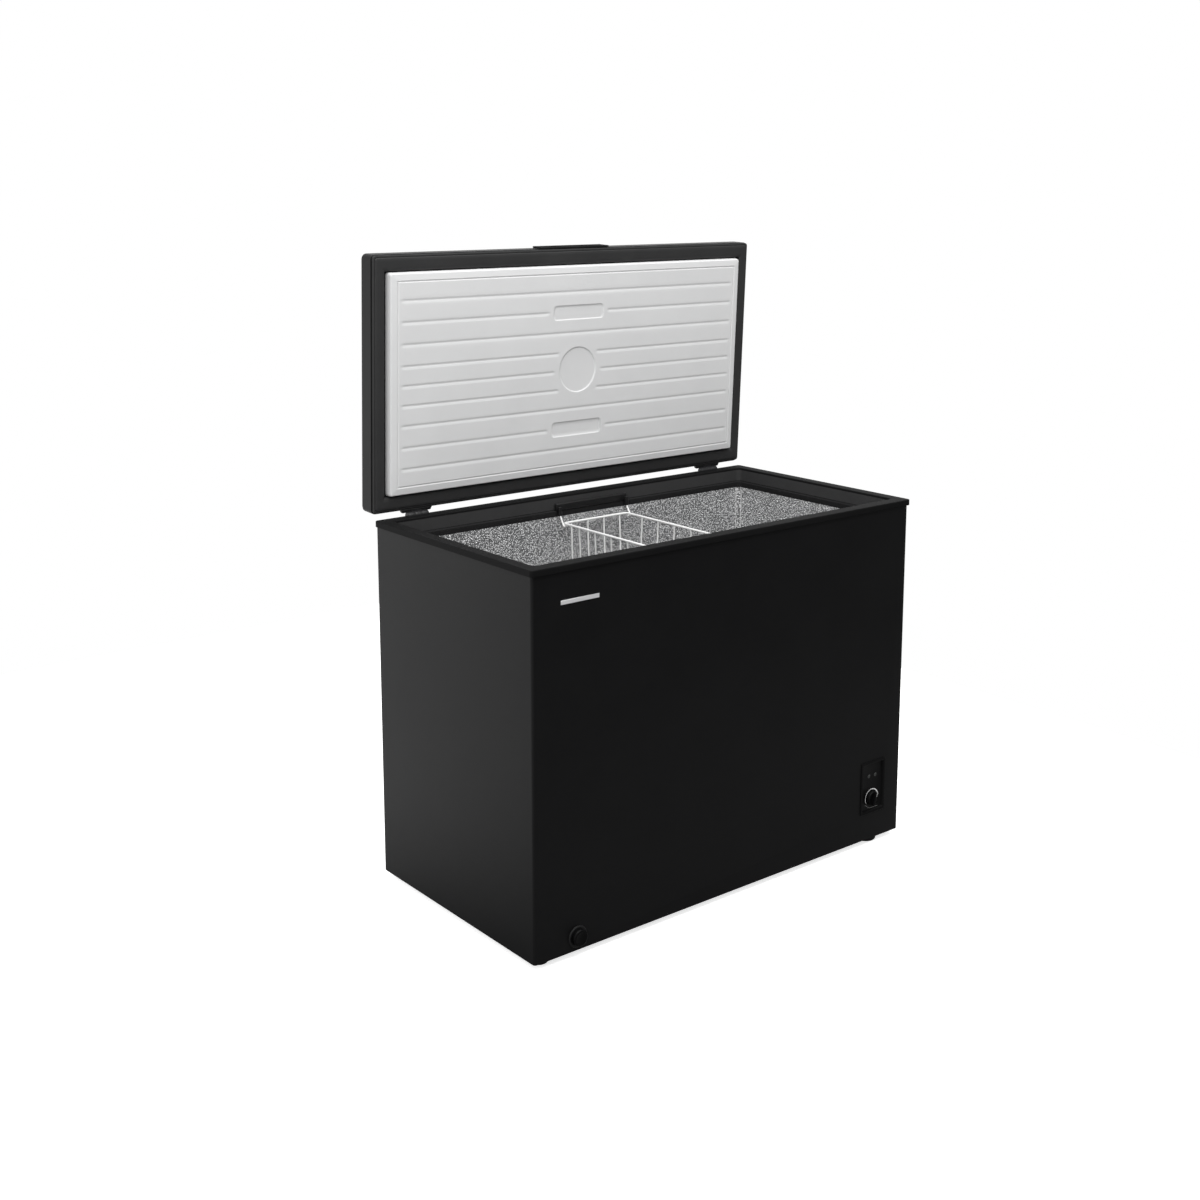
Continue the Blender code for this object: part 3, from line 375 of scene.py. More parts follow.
def tinted(tree, source, low, high):
    """Mixes two colours by a mask."""
    mix = node(tree, "ShaderNodeMix", {"data_type": "RGBA"})
    mix.inputs["A"].default_value = (*low, 1.0)
    mix.inputs["B"].default_value = (*high, 1.0)
    tree.links.new(source, mix.inputs["Factor"])
    return mix.outputs["Result"]


def new_finish(name):
    """A material, its tree and its shader."""
    made = bpy.data.materials.new(name)
    made.use_nodes = True
    return made, made.node_tree, made.node_tree.nodes["Principled BSDF"]


def moulded(name, dark, light, rough, grain=900.0, depth=0.06, specular=0.5, metallic=0.0, coat=0.0, mottle=9.0):
    """A painted or moulded finish: two near colours mottled together, uneven gloss and fine grain."""
    made, tree, shader = new_finish(name)
    where = node(tree, "ShaderNodeTexCoord")
    grains = node(tree, "ShaderNodeGroup", {"node_tree": GRAIN}, Scale=grain, Mottle_Scale=mottle)
    bump = node(tree, "ShaderNodeBump", Strength=depth, Distance=0.001)
    tree.links.new(where.outputs["Object"], grains.inputs["Vector"])
    tree.links.new(grains.outputs["Height"], bump.inputs["Height"])
    shade = between(tree, grains.outputs["Mottle"], 0, 1)
    tree.links.new(tinted(tree, shade, dark, light), shader.inputs["Base Color"])
    tree.links.new(between(tree, grains.outputs["Mottle"], rough - 0.02, rough + 0.02), shader.inputs["Roughness"])
    tree.links.new(bump.outputs["Normal"], shader.inputs["Normal"])
    shader.inputs["Specular IOR Level"].default_value = specular
    shader.inputs["Metallic"].default_value = metallic
    shader.inputs["Coat Weight"].default_value = coat
    shader.inputs["Coat Roughness"].default_value = 0.15
    return made


def stucco_metal():
    """Embossed aluminium sheet: its colour follows the relief, with painted highlight on the pebbles' crests and
    painted shade on the ground between them.
    """
    made, tree, shader = new_finish("stucco_aluminium_sheet")
    where = node(tree, "ShaderNodeTexCoord")
    relief = node(tree, "ShaderNodeGroup", {"node_tree": STUCCO}, Scale=330.0)
    bump = node(tree, "ShaderNodeBump", Strength=0.9, Distance=0.0012)
    tree.links.new(where.outputs["Object"], relief.inputs["Vector"])
    tree.links.new(relief.outputs["Height"], bump.inputs["Height"])
    # Painted light and shade: the base colour runs from dark between the pebbles to near white on their crests.
    shade = tinted(tree, relief.outputs["Crest"], (0.22, 0.222, 0.225), (0.98, 0.982, 0.985))
    tree.links.new(shade, shader.inputs["Base Color"])
    tree.links.new(between(tree, relief.outputs["Crest"], 0.40, 0.24), shader.inputs["Roughness"])
    tree.links.new(bump.outputs["Normal"], shader.inputs["Normal"])
    shader.inputs["Metallic"].default_value = 0.55
    return made


def drawn_metal(name, dark, light, rough):
    """Bare metal with fine lines from rolling or drawing."""
    made, tree, shader = new_finish(name)
    where = node(tree, "ShaderNodeTexCoord")
    lines = node(tree, "ShaderNodeGroup", {"node_tree": BRUSHED})
    bump = node(tree, "ShaderNodeBump", Strength=0.05, Distance=0.001)
    tree.links.new(where.outputs["Object"], lines.inputs["Vector"])
    tree.links.new(lines.outputs["Lines"], bump.inputs["Height"])
    tree.links.new(tinted(tree, lines.outputs["Lines"], dark, light), shader.inputs["Base Color"])
    tree.links.new(between(tree, lines.outputs["Lines"], rough - 0.06, rough + 0.06), shader.inputs["Roughness"])
    tree.links.new(bump.outputs["Normal"], shader.inputs["Normal"])
    shader.inputs["Metallic"].default_value = 1.0
    return made


paint = moulded("satin_black_paint", (0.0042, 0.0042, 0.0045), (0.0052, 0.0052, 0.0055), 0.44, 1100.0, 0.035, 0.16)
rim_plastic = moulded(
    "moulded_rim_plastic", (0.0135, 0.0135, 0.0138), (0.0165, 0.0165, 0.0169), 0.62, 1400.0, 0.05, 0.05
)
# Painted shade and light on the rim: the lip's tone is darker and the wall's lighter than the ledge's, set face by face
# to how bright each reads.
lip_painted_shade = moulded(
    "moulded_lip_plastic", (0.0066, 0.0066, 0.0068), (0.0082, 0.0082, 0.0084), 0.60, 1400.0, 0.05, 0.05
)
wall_painted_light = moulded(
    "moulded_wall_plastic", (0.0350, 0.0350, 0.0354), (0.0400, 0.0400, 0.0404), 0.55, 1400.0, 0.05, 0.15
)
dark_plastic = moulded(
    "moulded_black_plastic", (0.0075, 0.0075, 0.0078), (0.0095, 0.0095, 0.0099), 0.42, 1600.0, 0.04, 0.28
)
gloss_plastic = moulded(
    "polished_black_plastic", (0.0024, 0.0024, 0.0026), (0.0032, 0.0032, 0.0034), 0.36, 1600.0, 0.01, 0.10
)
gasket_rubber = moulded(
    "magnetic_gasket_rubber", (0.0240, 0.0240, 0.0243), (0.0300, 0.0300, 0.0303), 0.60, 700.0, 0.05, 0.25
)
liner_plastic = moulded(
    "formed_white_polystyrene", (0.665, 0.667, 0.669), (0.690, 0.692, 0.693), 0.46, 800.0, 0.02, 0.40
)
black_zinc = moulded("black_passivated_steel", (0.010, 0.010, 0.011), (0.016, 0.016, 0.017), 0.45, 1300.0, 0.04, 0.35)
coated_wire = moulded("dipped_white_wire", (0.760, 0.762, 0.755), (0.800, 0.800, 0.795), 0.32, 1200.0, 0.03, 0.5)
white_print = moulded("white_dial_print", (0.84, 0.84, 0.84), (0.90, 0.90, 0.90), 0.5, 1800.0, 0.02)
grey_print = moulded("grey_dial_print", (0.34, 0.34, 0.34), (0.42, 0.42, 0.42), 0.5, 1800.0, 0.02)
faint_print = moulded("grey_lamp_print", (0.080, 0.080, 0.081), (0.100, 0.100, 0.101), 0.5, 1800.0, 0.02)
poured_foam = moulded("poured_foam", (0.60, 0.48, 0.24), (0.74, 0.62, 0.36), 0.85, 260.0, 0.5, 0.2, mottle=40.0)
lens_plastic = moulded("smoked_lamp_lens", (0.030, 0.034, 0.030), (0.045, 0.050, 0.045), 0.15, 900.0, 0.01)
stucco = stucco_metal()
silver = moulded("satin_silver_foil", (0.66, 0.66, 0.67), (0.76, 0.76, 0.77), 0.34, 900.0, 0.05, 0.5, metallic=0.25)
# Painted highlight: a bright, smoother aluminium for the wires that stand in for light reflected at the tub's folded
# corners.
fold_highlight_paint = moulded(
    "bright_folded_aluminium", (0.80, 0.80, 0.80), (0.90, 0.90, 0.90), 0.35, 700.0, 0.2, 0.5, metallic=0.3
)
zinc = drawn_metal("zinc_coated_steel", (0.40, 0.41, 0.43), (0.56, 0.57, 0.59), 0.40)
copper = drawn_metal("drawn_copper", (0.52, 0.24, 0.14), (0.68, 0.34, 0.21), 0.33)


# ------------------------------------------------------------ cabinet
def body_outline(inset, r, steps=6, extra=0.0, rear=()):
    """The cabinet's outline set in from its faces; extra moves only the front and the rear."""
    return outline(LEFT + inset, RIGHT - inset, FRONT + inset + extra, BACK - inset - extra, r, steps, rear)


def top_frame():
    """The rim round the mouth, as a lip, a wall and a ledge in three tones of one moulded plastic, set face by face to
    how bright each reads: the lip's top is painted darker as shade and the inner wall lighter as painted light.
    Each is a profile of (inset, height) carried round the body's outline. The corner radius is
    smaller for the outer lip than for the mouth, and the rear lip is flat behind each hinge."""
    z = RIM_Z
    lip = rounded(
        [(-0.0006, z - 0.0130), (-0.0040, z - 0.0130), (-0.0040, z), (RIM_INSET, z), (RIM_INSET, z - 0.0050)],
        [0.0006, 0.0022, 0.0026],
        5,
    )
    wall = np.array([(RIM_INSET, z - 0.0050), (RIM_INSET + 0.0006, z - LEDGE_DROP + 0.0020)])
    ledge = rounded(
        [
            (RIM_INSET + 0.0006, z - LEDGE_DROP + 0.0020),
            (RIM_INSET + 0.0006, z - LEDGE_DROP),
            (LEDGE_INSET, z - LEDGE_DROP),
            (LEDGE_INSET, z - BAND_DROP),
            (LEDGE_INSET - 0.0022, z - BAND_DROP),
        ],
        [0.0016, 0.0014, 0.0005],
        5,
    )
    edges = []
    for x in (HINGE_X + 0.025, HINGE_X - 0.025, -HINGE_X + 0.025, -HINGE_X - 0.025):
        edges += [x + 0.0002, x - 0.0002]
    # Each part gets its own tone; the lip's darker and the wall's lighter tones are painted shade and light.
    for name, profile, finish in (
        ("rim_lip", lip, lip_painted_shade),
        ("rim_wall", wall, wall_painted_light),
        ("rim_ledge", ledge, rim_plastic),
    ):
        rings = []
        for inset, height in profile:
            inner = inset > 0.01
            r = 0.012 if inner else 0.0065
            rings.append(level(body_outline(inset, r, 8, extra=RAIL_EXTRA if inner else 0.0, rear=edges), height))
        grid = np.stack(rings)
        near_hinge = np.abs(np.abs(grid[..., 0]) - HINGE_X) < 0.0251
        at_rear = near_hinge & (grid[..., 1] > BACK - 0.0020)
        grid[..., 1] = np.where(at_rear, BACK - 0.0020, grid[..., 1])
        part = (grid, False, True, False)
        piece(name, [part], finish, "black_plastic", "cabinet", "top_frame", outward=(0, 0, 1))


def inner_tub():
    """The embossed tub: outlines with cut corners, from a small flange under the rim down to the floor.
    Each row is (how far further in, height, right side where the step over the compressor moves it)."""
    top, ease = RIM_Z - BAND_DROP - 0.0004, 0.0030
    rows = [
        (-0.0014, top + 0.0006, None),
        (0.0, top + 0.0006, None),
        (0.0, STEP_Z + ease, None),
        (ease * 0.3, STEP_Z + ease * 0.3, None),
        (ease, STEP_Z, None),
        (0.0, STEP_Z - 0.0002, STEP_X + ease),
        (0.0, STEP_Z - ease * 0.3, STEP_X + ease * 0.3),
        (0.0, STEP_Z - ease, STEP_X),
        (0.0, LINER_FLOOR_Z + ease, STEP_X),
        (ease * 0.3, LINER_FLOOR_Z + ease * 0.3, STEP_X - ease * 0.3),
        (ease, LINER_FLOOR_Z, STEP_X - ease),
    ]
    rings = []
    for grow, z, right in rows:
        inset = LINER_INSET + grow
        deep = inset + RAIL_EXTRA
        x1 = RIGHT - inset if right is None else right
        rings.append(level(cut_outline(LEFT + inset, x1, FRONT + deep, BACK - deep, 0.0085, 0.0020), z))
    grid = np.stack(rings)
    drain_y, r = FRONT + 0.075, 0.0102
    hole = cut_outline(DRAIN_X - r, DRAIN_X + r, drain_y - r, drain_y + r, r * 0.59, 0.0020)
    floor = np.stack([grid[-1], level(hole, LINER_FLOOR_Z), level(hole, LINER_FLOOR_Z - 0.012)])
    return piece(
        "stucco_tub",
        [(grid, False, True, False), (floor, False, True, False)],
        stucco,
        "stucco_aluminium",
        "cabinet",
        "inner_liner",
        outward=(0, 0, 1),
        sharp=25.0,
    )


def fold_lines():
    """Painted highlights at the folds: a slim upright wire in a bright finish at both bends of each cut corner,
    standing in for the light that the rounded bends reflect.
    """
    deep = LINER_INSET + RAIL_EXTRA
    parts = []
    for side, x, low in ((-1, LEFT + LINER_INSET, LINER_FLOOR_Z), (1, RIGHT - LINER_INSET, STEP_Z)):
        for rear, y in ((-1, FRONT + deep), (1, BACK - deep)):
            for dx, dy in ((0.0, 0.0082), (0.0082, 0.0)):
                spot = (x - side * (dx + 0.0002), y - rear * (dy + 0.0002))
                rise = np.linspace((*spot, low + 0.003), (*spot, RIM_Z - BAND_DROP - 0.001), 8)
                parts.append(tube(rise, 0.0008, (1, 0, 0), 8))
    return piece("fold_lines", parts, fold_highlight_paint, "stucco_aluminium", "cabinet", sharp=60.0)


def foot(name):
    """A low round foot: a turned profile with a rounded sole."""
    low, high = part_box(name)
    r, middle = (high.x - low.x) / 2, (low + high) / 2
    profile = rounded([(0, high.z), (r, high.z), (r, 0.0), (0, 0.0)], 0.0045, 6)
    profile = np.concatenate([profile[1:-1], [(0, 0.0)]])
    profile = np.concatenate([[(0, high.z)], profile])
    turned = lathe(profile, (middle.x, middle.y, 0), steps=36)
    piece(name + "_turned", [turned], dark_plastic, "black_plastic", "cabinet", name)


def screw(name, centre, axis, body, r=0.0036):
    """A pan-head screw: a low dome with a recess at its middle."""
    profile = rounded([(r, 0.0002), (r, 0.0009), (r * 0.45, 0.0019), (r * 0.42, 0.0008), (0, 0.0008)], 0.0005, 3)
    return piece(name, [lathe(profile, centre, axis, 18)], zinc, "zinc_steel", body)


# ------------------------------------------------------------ lid
def liner_recess(x, y):
    """How far the lid's liner sinks from its raised face at (x, y).
    Grooves: one long slope down, a short flat, and a slope back up in two steps, fading out past each end.
    Dish: a flat sink with a sloping edge, plus a bowl of (1 - (distance from its middle / radius)^2).
    Pockets: a flat sink with a sloping edge, by the distance to a rounded rectangle."""
    sunk = np.zeros(np.broadcast(x, y).shape)
    for row, start in zip(GROOVE_ROWS, GROOVE_STARTS):
        over = np.maximum(np.abs(x) - GROOVE_END, 0)
        short = np.maximum(start - np.abs(x), 0)
        across = y + row
        shape = smooth(-0.0056, -0.0006, across)
        shape = shape - 0.6 * smooth(0.0, 0.0030, across) - 0.4 * smooth(0.0030, 0.0056, across)
        sunk = np.maximum(sunk, 0.0010 * shape * (1 - smooth(0.0, 0.0120, np.maximum(over, short))))
    away = np.hypot(x, y - DISH_Y)
    bowl = 0.0010 * np.clip(1 - (away / DISH_R) ** 2, 0, 1)
    sunk = np.maximum(sunk, (0.0015 + bowl) * (1 - smooth(DISH_R - 0.0026, DISH_R, away)))
    for row, half in POCKETS:
        r = 0.009
        qx, qy = np.abs(x) - (0.0710 - r), np.abs(y + row) - (half - r)
        away = np.hypot(np.maximum(qx, 0), np.maximum(qy, 0)) + np.minimum(np.maximum(qx, qy), 0) - r
        sunk = np.maximum(sunk, 0.0014 * (1 - smooth(-0.0020, 0.0002, away)))
    return sunk


def lid_liner():
    """The white formed liner: a height over a grid whose corners are drawn in to quarter circles.
    Height goes by distance from the edge: the wall, a slanting border, a groove round it, the raised face."""
    half_x, half_y = LINER_HALF
    edge = np.concatenate([np.linspace(0, 0.0050, 8), np.linspace(0.0060, 0.0165, 4), np.linspace(0.0172, 0.0214, 8)])
    around_end = np.linspace(-0.0010, 0.0120, 9)
    xs = np.concatenate(
        [
            half_x - edge,
            edge - half_x,
            GROOVE_END + around_end,
            -GROOVE_END - around_end,
            np.arange(-0.0950, 0.0951, 0.0013),
            np.linspace(-0.470, 0.470, 95),
        ]
    )
    around_row = np.linspace(-0.0056, 0.0056, 13)
    around_pocket = np.linspace(-0.002, 0.002, 5)
    ys = np.concatenate(
        [
            half_y - edge,
            edge - half_y,
            (-GROOVE_ROWS[:, None] + around_row - LINER_MID).ravel(),
            np.arange(-DISH_R - 0.001, DISH_R + 0.001, 0.0013) + DISH_Y - LINER_MID,
            *(side * half - row + around_pocket - LINER_MID for row, half in POCKETS for side in (-1, 1)),
            np.linspace(-half_y, half_y, 61),
        ]
    )
    xs, ys = thinned(xs, 0.0005), thinned(ys, 0.0005)
    x, y = np.meshgrid(xs, ys, indexing="ij")
    r = 0.0060
    cx, cy = np.maximum(np.abs(x) - (half_x - r), 0), np.maximum(np.abs(y) - (half_y - r), 0)
    shrink = np.where(np.minimum(cx, cy) > 0, np.maximum(cx, cy) / np.maximum(np.hypot(cx, cy), 1e-9), 1)
    x = np.sign(x) * (np.abs(x) - cx + cx * shrink)
    y = np.sign(y) * (np.abs(y) - cy + cy * shrink)
    qx, qy = np.abs(x) - (half_x - r), np.abs(y) - (half_y - r)
    inside = r - np.hypot(np.maximum(qx, 0), np.maximum(qy, 0)) - np.minimum(np.maximum(qx, qy), 0)
    foot_z, brow = LID_LOW + 0.0020, 0.0013
    distances = [0, 0.0005, 0.0013, 0.0020, 0.0032, 0.0165]
    wall = np.interp(inside, distances, [foot_z, 0.006, -0.0005, -0.0030, PLATEAU_Z + brow, PLATEAU_Z])
    border = 0.0013 * (1 - smooth(0.0004, 0.0022, np.abs(inside - 0.0190)))
    z = np.where(inside < 0.0165, wall, PLATEAU_Z) + border
    z = z + liner_recess(x, y + LINER_MID) * smooth(0.0200, 0.0220, inside)
    part = (lid_space(np.stack([x, y + LINER_MID, z], -1)), False, False, False)
    name = "formed_lid_liner"
    piece(name, [part], liner_plastic, "white_plastic", "lid", "lid_liner", outward=(0, -1, 0), sharp=80.0)


def thinned(values, gap):
    """The values rounded to steps of gap, in order, each kept once."""
    return np.unique(np.round(values / gap) * gap)


def lid_gasket():
    """The magnetic seal: a profile of (inset, height) round the lid, mitred at its corners.
    A flat outer band with a fine seam, then a shallow roll that faces the rim. It is wider at the front
    and the rear than at the sides."""
    top, foot_z = LID_LOW - 0.0004, 0.0019
    profile = rounded(
        [
            (0.0, top),
            (0.0, foot_z + 0.0030),
            (0.0030, foot_z + 0.0024),
            (0.0036, foot_z + 0.0036),
            (0.0042, foot_z + 0.0010),
            (0.0080, foot_z),
            (0.0200, foot_z),
            (0.0245, foot_z + 0.0012),
            (0.0262, foot_z + 0.0040),
            (0.0265, top),
        ],
        [0.0010, 0.0005, 0.0005, 0.0010, 0.0020, 0.0020, 0.0018, 0.0010],
        4,
    )
    x0, x1, y0, y1 = -0.5240, 0.5240, -0.5530, -0.0144
    rings = []
    for inset, height in profile:
        deep = inset * (0.0335 / 0.0265)
        rear = inset * (0.0308 / 0.0265)
        r = max(0.0060 - inset * 0.2, 0.0008)
        rings.append(level(outline(x0 + inset, x1 - inset, y0 + deep, y1 - rear, r, 4), height))
    part = (lid_space(np.stack(rings)), False, True, False)
    piece("magnetic_gasket", [part], gasket_rubber, "black_rubber", "lid", "lid_gasket", outward=(0, -1, 0), sharp=50.0)


def lid_inner_frame():
    """The dark step between the gasket and the liner: outlines set in from the lid's edge, then from the liner's."""
    half_x, half_y = LINER_HALF
    lid_edge = (-LID_HALF_W, LID_HALF_W, LID_FRONT, LID_REAR)
    liner_edge = (-half_x, half_x, LINER_MID - half_y, LINER_MID + half_y)
    rings = []
    for (x0, x1, y0, y1), inset, r, rise in (
        (lid_edge, 0.0011, 0.009, 0.0024),
        (lid_edge, 0.0014, 0.009, 0.0),
        (liner_edge, -0.0030, 0.008, 0.0),
        (liner_edge, -0.0006, 0.006, 0.0018),
        (liner_edge, 0.0020, 0.005, 0.0023),
    ):
        rings.append(level(outline(x0 + inset, x1 - inset, y0 + inset, y1 - inset, r, 6), LID_LOW + rise))
    part = (lid_space(np.stack(rings)), False, True, False)
    piece("lid_inner_step", [part], rim_plastic, "black_plastic", "lid", "lid_frame", outward=(0, -1, 0))


# ------------------------------------------------------------ basket
def wire_u(x0, x1, y, top, low, lean, r, along="x"):
    """A hoop: down one side, under the floor and up the other, with round bends, in a plane square to Y or X."""
    corners = [(x0, top), (x0 + lean, low), (x1 - lean, low), (x1, top)]
    line = rounded(corners, 0.014, 6)
    third = np.full((len(line), 1), y)
    if along == "x":
        path, normal = np.concatenate([line[:, :1], third, line[:, 1:]], 1), (0, 1, 0)
    else:
        path, normal = np.concatenate([third, line], 1), (1, 0, 0)
    return tube(path, r, normal, 8)


def basket():
    """The wire basket: a top ring, two bands, seven hoops across and four lengthways."""
    top, low, lean = BASKET_TOP, BASKET_TOP - BASKET_H, 0.010
    y0, y1 = CENTRE_Y - BASKET_HALF_L, CENTRE_Y + BASKET_HALF_L
    ring = level(outline(BASKET_X0, BASKET_X1, y0, y1, 0.009, 7), top)
    parts = [tube(ring, RING_WIRE, (0, 0, 1), 12, closed=True)]
    for drop in (0.45, 0.80):
        d = lean * drop
        band = level(outline(BASKET_X0 + d, BASKET_X1 - d, y0 + d, y1 - d, 0.012, 6), top - BASKET_H * drop)
        parts.append(tube(band, WIRE, (0, 0, 1), 8, closed=True))
    for i in range(-3, 4):
        parts.append(wire_u(BASKET_X0 + 0.0004, BASKET_X1 - 0.0004, CENTRE_Y + i * 0.056, top, low, lean, WIRE))
    middle = (BASKET_X0 + BASKET_X1) / 2
    for i in range(4):
        parts.append(wire_u(y0 + 0.0004, y1 - 0.0004, middle + (i - 1.5) * 0.047, top, low + 0.0024, lean, WIRE, "y"))
    return piece("wire_basket", parts, coated_wire, "white_wire", "basket", "basket", sharp=60.0)


def bail(end, sign):
    """A wire handle hooked under the ring, with its moulded grip on the ledge.
    The wire is two rounded sides, a short stub inwards from the foot of each, and a bar across."""
    x0, x1 = BASKET_X0 - 0.0050, BASKET_X1 + 0.0050
    hook_y, hook_z = CENTRE_Y + sign * 0.2170, BASKET_TOP - 0.0050
    leg, bar = hook_y + sign * 0.0145, hook_y + sign * 0.0235
    ledge = RIM_Z - LEDGE_DROP
    bar_z = ledge + 0.0065
    side = rounded([(hook_y, hook_z), (leg, hook_z + 0.0225), (leg, bar_z), (bar, bar_z)], 0.0045, 6)
    parts = []
    for x, inward in ((x0, 1), (x1, -1)):
        path = np.concatenate([np.full((len(side), 1), x), side], 1)
        parts.append(tube(path, WIRE, (1, 0, 0), 10))
        stub = np.linspace((x - inward * 0.0006, hook_y, hook_z), (x + inward * 0.0090, hook_y, hook_z), 4)
        parts.append(tube(stub, WIRE, (0, 0, 1), 10))
    across = np.linspace((x0 - 0.0006, bar, bar_z), (x1 + 0.0006, bar, bar_z), 6)
    parts.append(tube(across, WIRE, (0, 0, 1), 10))
    body = "basket_bail_" + end
    piece(f"bail_wire_{end}", parts, coated_wire, "white_wire", body, f"basket_handle_{end}", sharp=60.0)

    y_in, y_out = sorted((bar - sign * 0.0045, bar + sign * 0.0050))
    low, high = (x0 - 0.0060, y_in, ledge + 0.0004), (x1 + 0.0060, y_out, ledge + 0.0164)
    grip = [block(low, high, 0.0022, 4)]
    for x in (x0, x1):
        y_a, y_b = sorted((leg + sign * 0.0030, leg - sign * 0.0034))
        grip.append(block((x - 0.0048, y_a, ledge - 0.0105), (x + 0.0044, y_b, ledge + 0.0100), 0.0012, 3))
    piece(f"moulded_grip_{end}", grip, dark_plastic, "black_plastic", body, f"basket_grip_{end}", sharp=45.0)


# ------------------------------------------------------------ front details
def on_dial(u, h, v):
    """Points across, above and along the dial's ridge, turned to where it leans."""
    lean = radians(-18)
    x, z = u * cos(lean) - v * sin(lean), u * sin(lean) + v * cos(lean)
    return np.stack([DIAL[0] + x, np.broadcast_to(DIAL[1] - h, x.shape), DIAL[2] + z], -1)


def knob():
    """The dial: a turned disc with a fluted skirt and a tapering ridge across its face, leaning to its setting."""
    profile = [
        (0, 0.0052, 0),
        (0.0128, 0.0052, 0),
        (0.0140, 0.0056, 0),
        (0.0150, 0.0058, 0.2),
        (0.0160, 0.0050, 0.6),
        (0.0165, 0.0038, 1),
        (0.0168, -0.0016, 1),
        (0.0032, -0.0018, 0),
        (0.0032, -0.0240, 0),
        (0, -0.0240, 0),
    ]
    disc = lathe(profile, DIAL, "-y", 120, lambda a: 0.00022 * np.cos(30 * a))
    t = np.linspace(-1, 1, 25)
    half = 0.0034 - 0.0008 * np.abs(t) ** 2
    crown = 0.0120 - 0.0016 * np.abs(t) ** 4
    across = rounded([(-1, 0), (-0.82, 1), (0.82, 1), (1, 0)], 0.3, 4)
    u = across[None, :, 0] * half[:, None]
    h = 0.0040 + across[None, :, 1] * (crown[:, None] - 0.0040)
    v = np.broadcast_to(0.0150 * t[:, None], u.shape)
    parts = [disc, (on_dial(u, h, v), False, False, False)]
    piece("fluted_dial", parts, gloss_plastic, "gloss_black_plastic", "thermostat_knob", "thermostat_knob", sharp=40.0)
    u = np.broadcast_to([[-0.0005], [0.0005]], (2, 8))
    mark = (on_dial(u, 0.0122, np.linspace(0.0060, 0.0138, 8)), False, False, False)
    piece("dial_pointer", [mark], white_print, "white_plastic", "thermostat_knob", outward=(0, -1, 0))


def printed(x, z):
    """Points of a printed mark, on the panel's face."""
    return np.stack([x, np.full(len(x), PRINT_Y), z], -1)


def dial_print():
    """A white arc round the dial that widens clockwise, a grey line under it and two grey lamp marks."""
    a = np.radians(np.linspace(214, 2, 60))
    t = np.linspace(0, 1, 60)
    inner, outer = 0.0198 - 0.0002 * t, 0.0205 + 0.0024 * t**1.2
    arc = np.stack([printed(DIAL[0] + r * np.cos(a), DIAL[2] + r * np.sin(a)) for r in (inner, outer)])
    corners = rounded([(-0.0215, -0.0135), (-0.0060, -0.0236), (0.0215, -0.0236)], 0.0020, 5)
    line = np.stack([printed(DIAL[0] + corners[:, 0], DIAL[2] + corners[:, 1] + dz) for dz in (-0.0003, 0.0003)])
    marks = []
    a = np.linspace(0, 2 * pi, 24, endpoint=False)
    for dx in (-0.0105, 0.0105):
        x, z = PANEL_X + dx, PANEL_Z + 0.0255
        ring = [printed(x + r * np.cos(a), z + r * np.sin(a)) for r in (0.0022, 0.0042)]
        marks.append((np.stack(ring), False, True, False))
    for name, parts, finish in (
        ("dial_scale", [(arc, False, False, False)], white_print),
        ("dial_base_line", [(line, False, False, False)], grey_print),
        ("lamp_marks", marks, faint_print),
    ):
        piece(name, parts, finish, "white_plastic", "cabinet", outward=(0, -1, 0))


def drain_cap():
    """The drain's cap: a turned cup with a domed edge and fine ribs round its side."""
    profile = [
        (0, 0.0122, 0),
        (0.0110, 0.0122, 0),
        (0.0122, 0.0130, 0),
        (0.0140, 0.0130, 0),
        (0.0160, 0.0122, 0.2),
        (0.0172, 0.0106, 0.8),
        (0.0176, 0.0090, 1),
        (0.0179, 0.0036, 1),
        (0.0121, 0.0034, 0),
        (0.0115, -0.0140, 0),
        (0, -0.0140, 0),
    ]
    cup = lathe(profile, (DRAIN_X, FRONT, DRAIN_Z), "-y", 144, lambda a: 0.0002 * np.cos(36 * a))
    piece("ribbed_drain_cap", [cup], gloss_plastic, "gloss_black_plastic", "drain_cap", "drain_cap", sharp=40.0)


def coil(x, y, z, a, r, wire, sides):
    """A coiled wire: r times (cos a, sin a) about (x, y), at heights z that go in step with a."""
    out = np.stack([np.cos(a), np.sin(a), np.zeros_like(a)], -1)
    return tube(np.stack([x + r * np.cos(a), y + r * np.sin(a), z], -1), wire, out, sides)


def springs_and_pipes():
    """The two hinge springs, the capillary winding and the filter drier."""
    a = np.linspace(0, 16 * pi, 240)
    for side, name in ((-1, "left"), (1, "right")):
        node_name = "hinge_spring_" + name
        low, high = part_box(node_name)
        z = low.z + 0.0018 + (high.z - low.z - 0.0036) * a / a[-1]
        spring = coil(side * HINGE_X, BACK + 0.0130, z, a, 0.0080, 0.0016, 8)
        piece("coil_spring_" + name, [spring], zinc, "zinc_steel", "cabinet", node_name, sharp=70.0)
    a = np.linspace(0, 6 * pi, 120)
    winding = coil(DRIER_X, DRIER_Y, 0.206 + 0.004 * a / (2 * pi), a, 0.014, 0.0010, 6)
    piece("capillary_winding", [winding], copper, "copper", "cabinet", "capillary_coil", sharp=70.0)
    upper = [(0, 0.062), (0.0040, 0.061), (0.0045, 0.052), (0.0090, 0.045)]
    profile = rounded(upper + [(r, -h) for r, h in reversed(upper)], 0.002, 3)
    drier = lathe(profile, (DRIER_X, DRIER_Y, 0.140), steps=28)
    piece("turned_filter_drier", [drier], copper, "copper", "cabinet", "filter_drier")


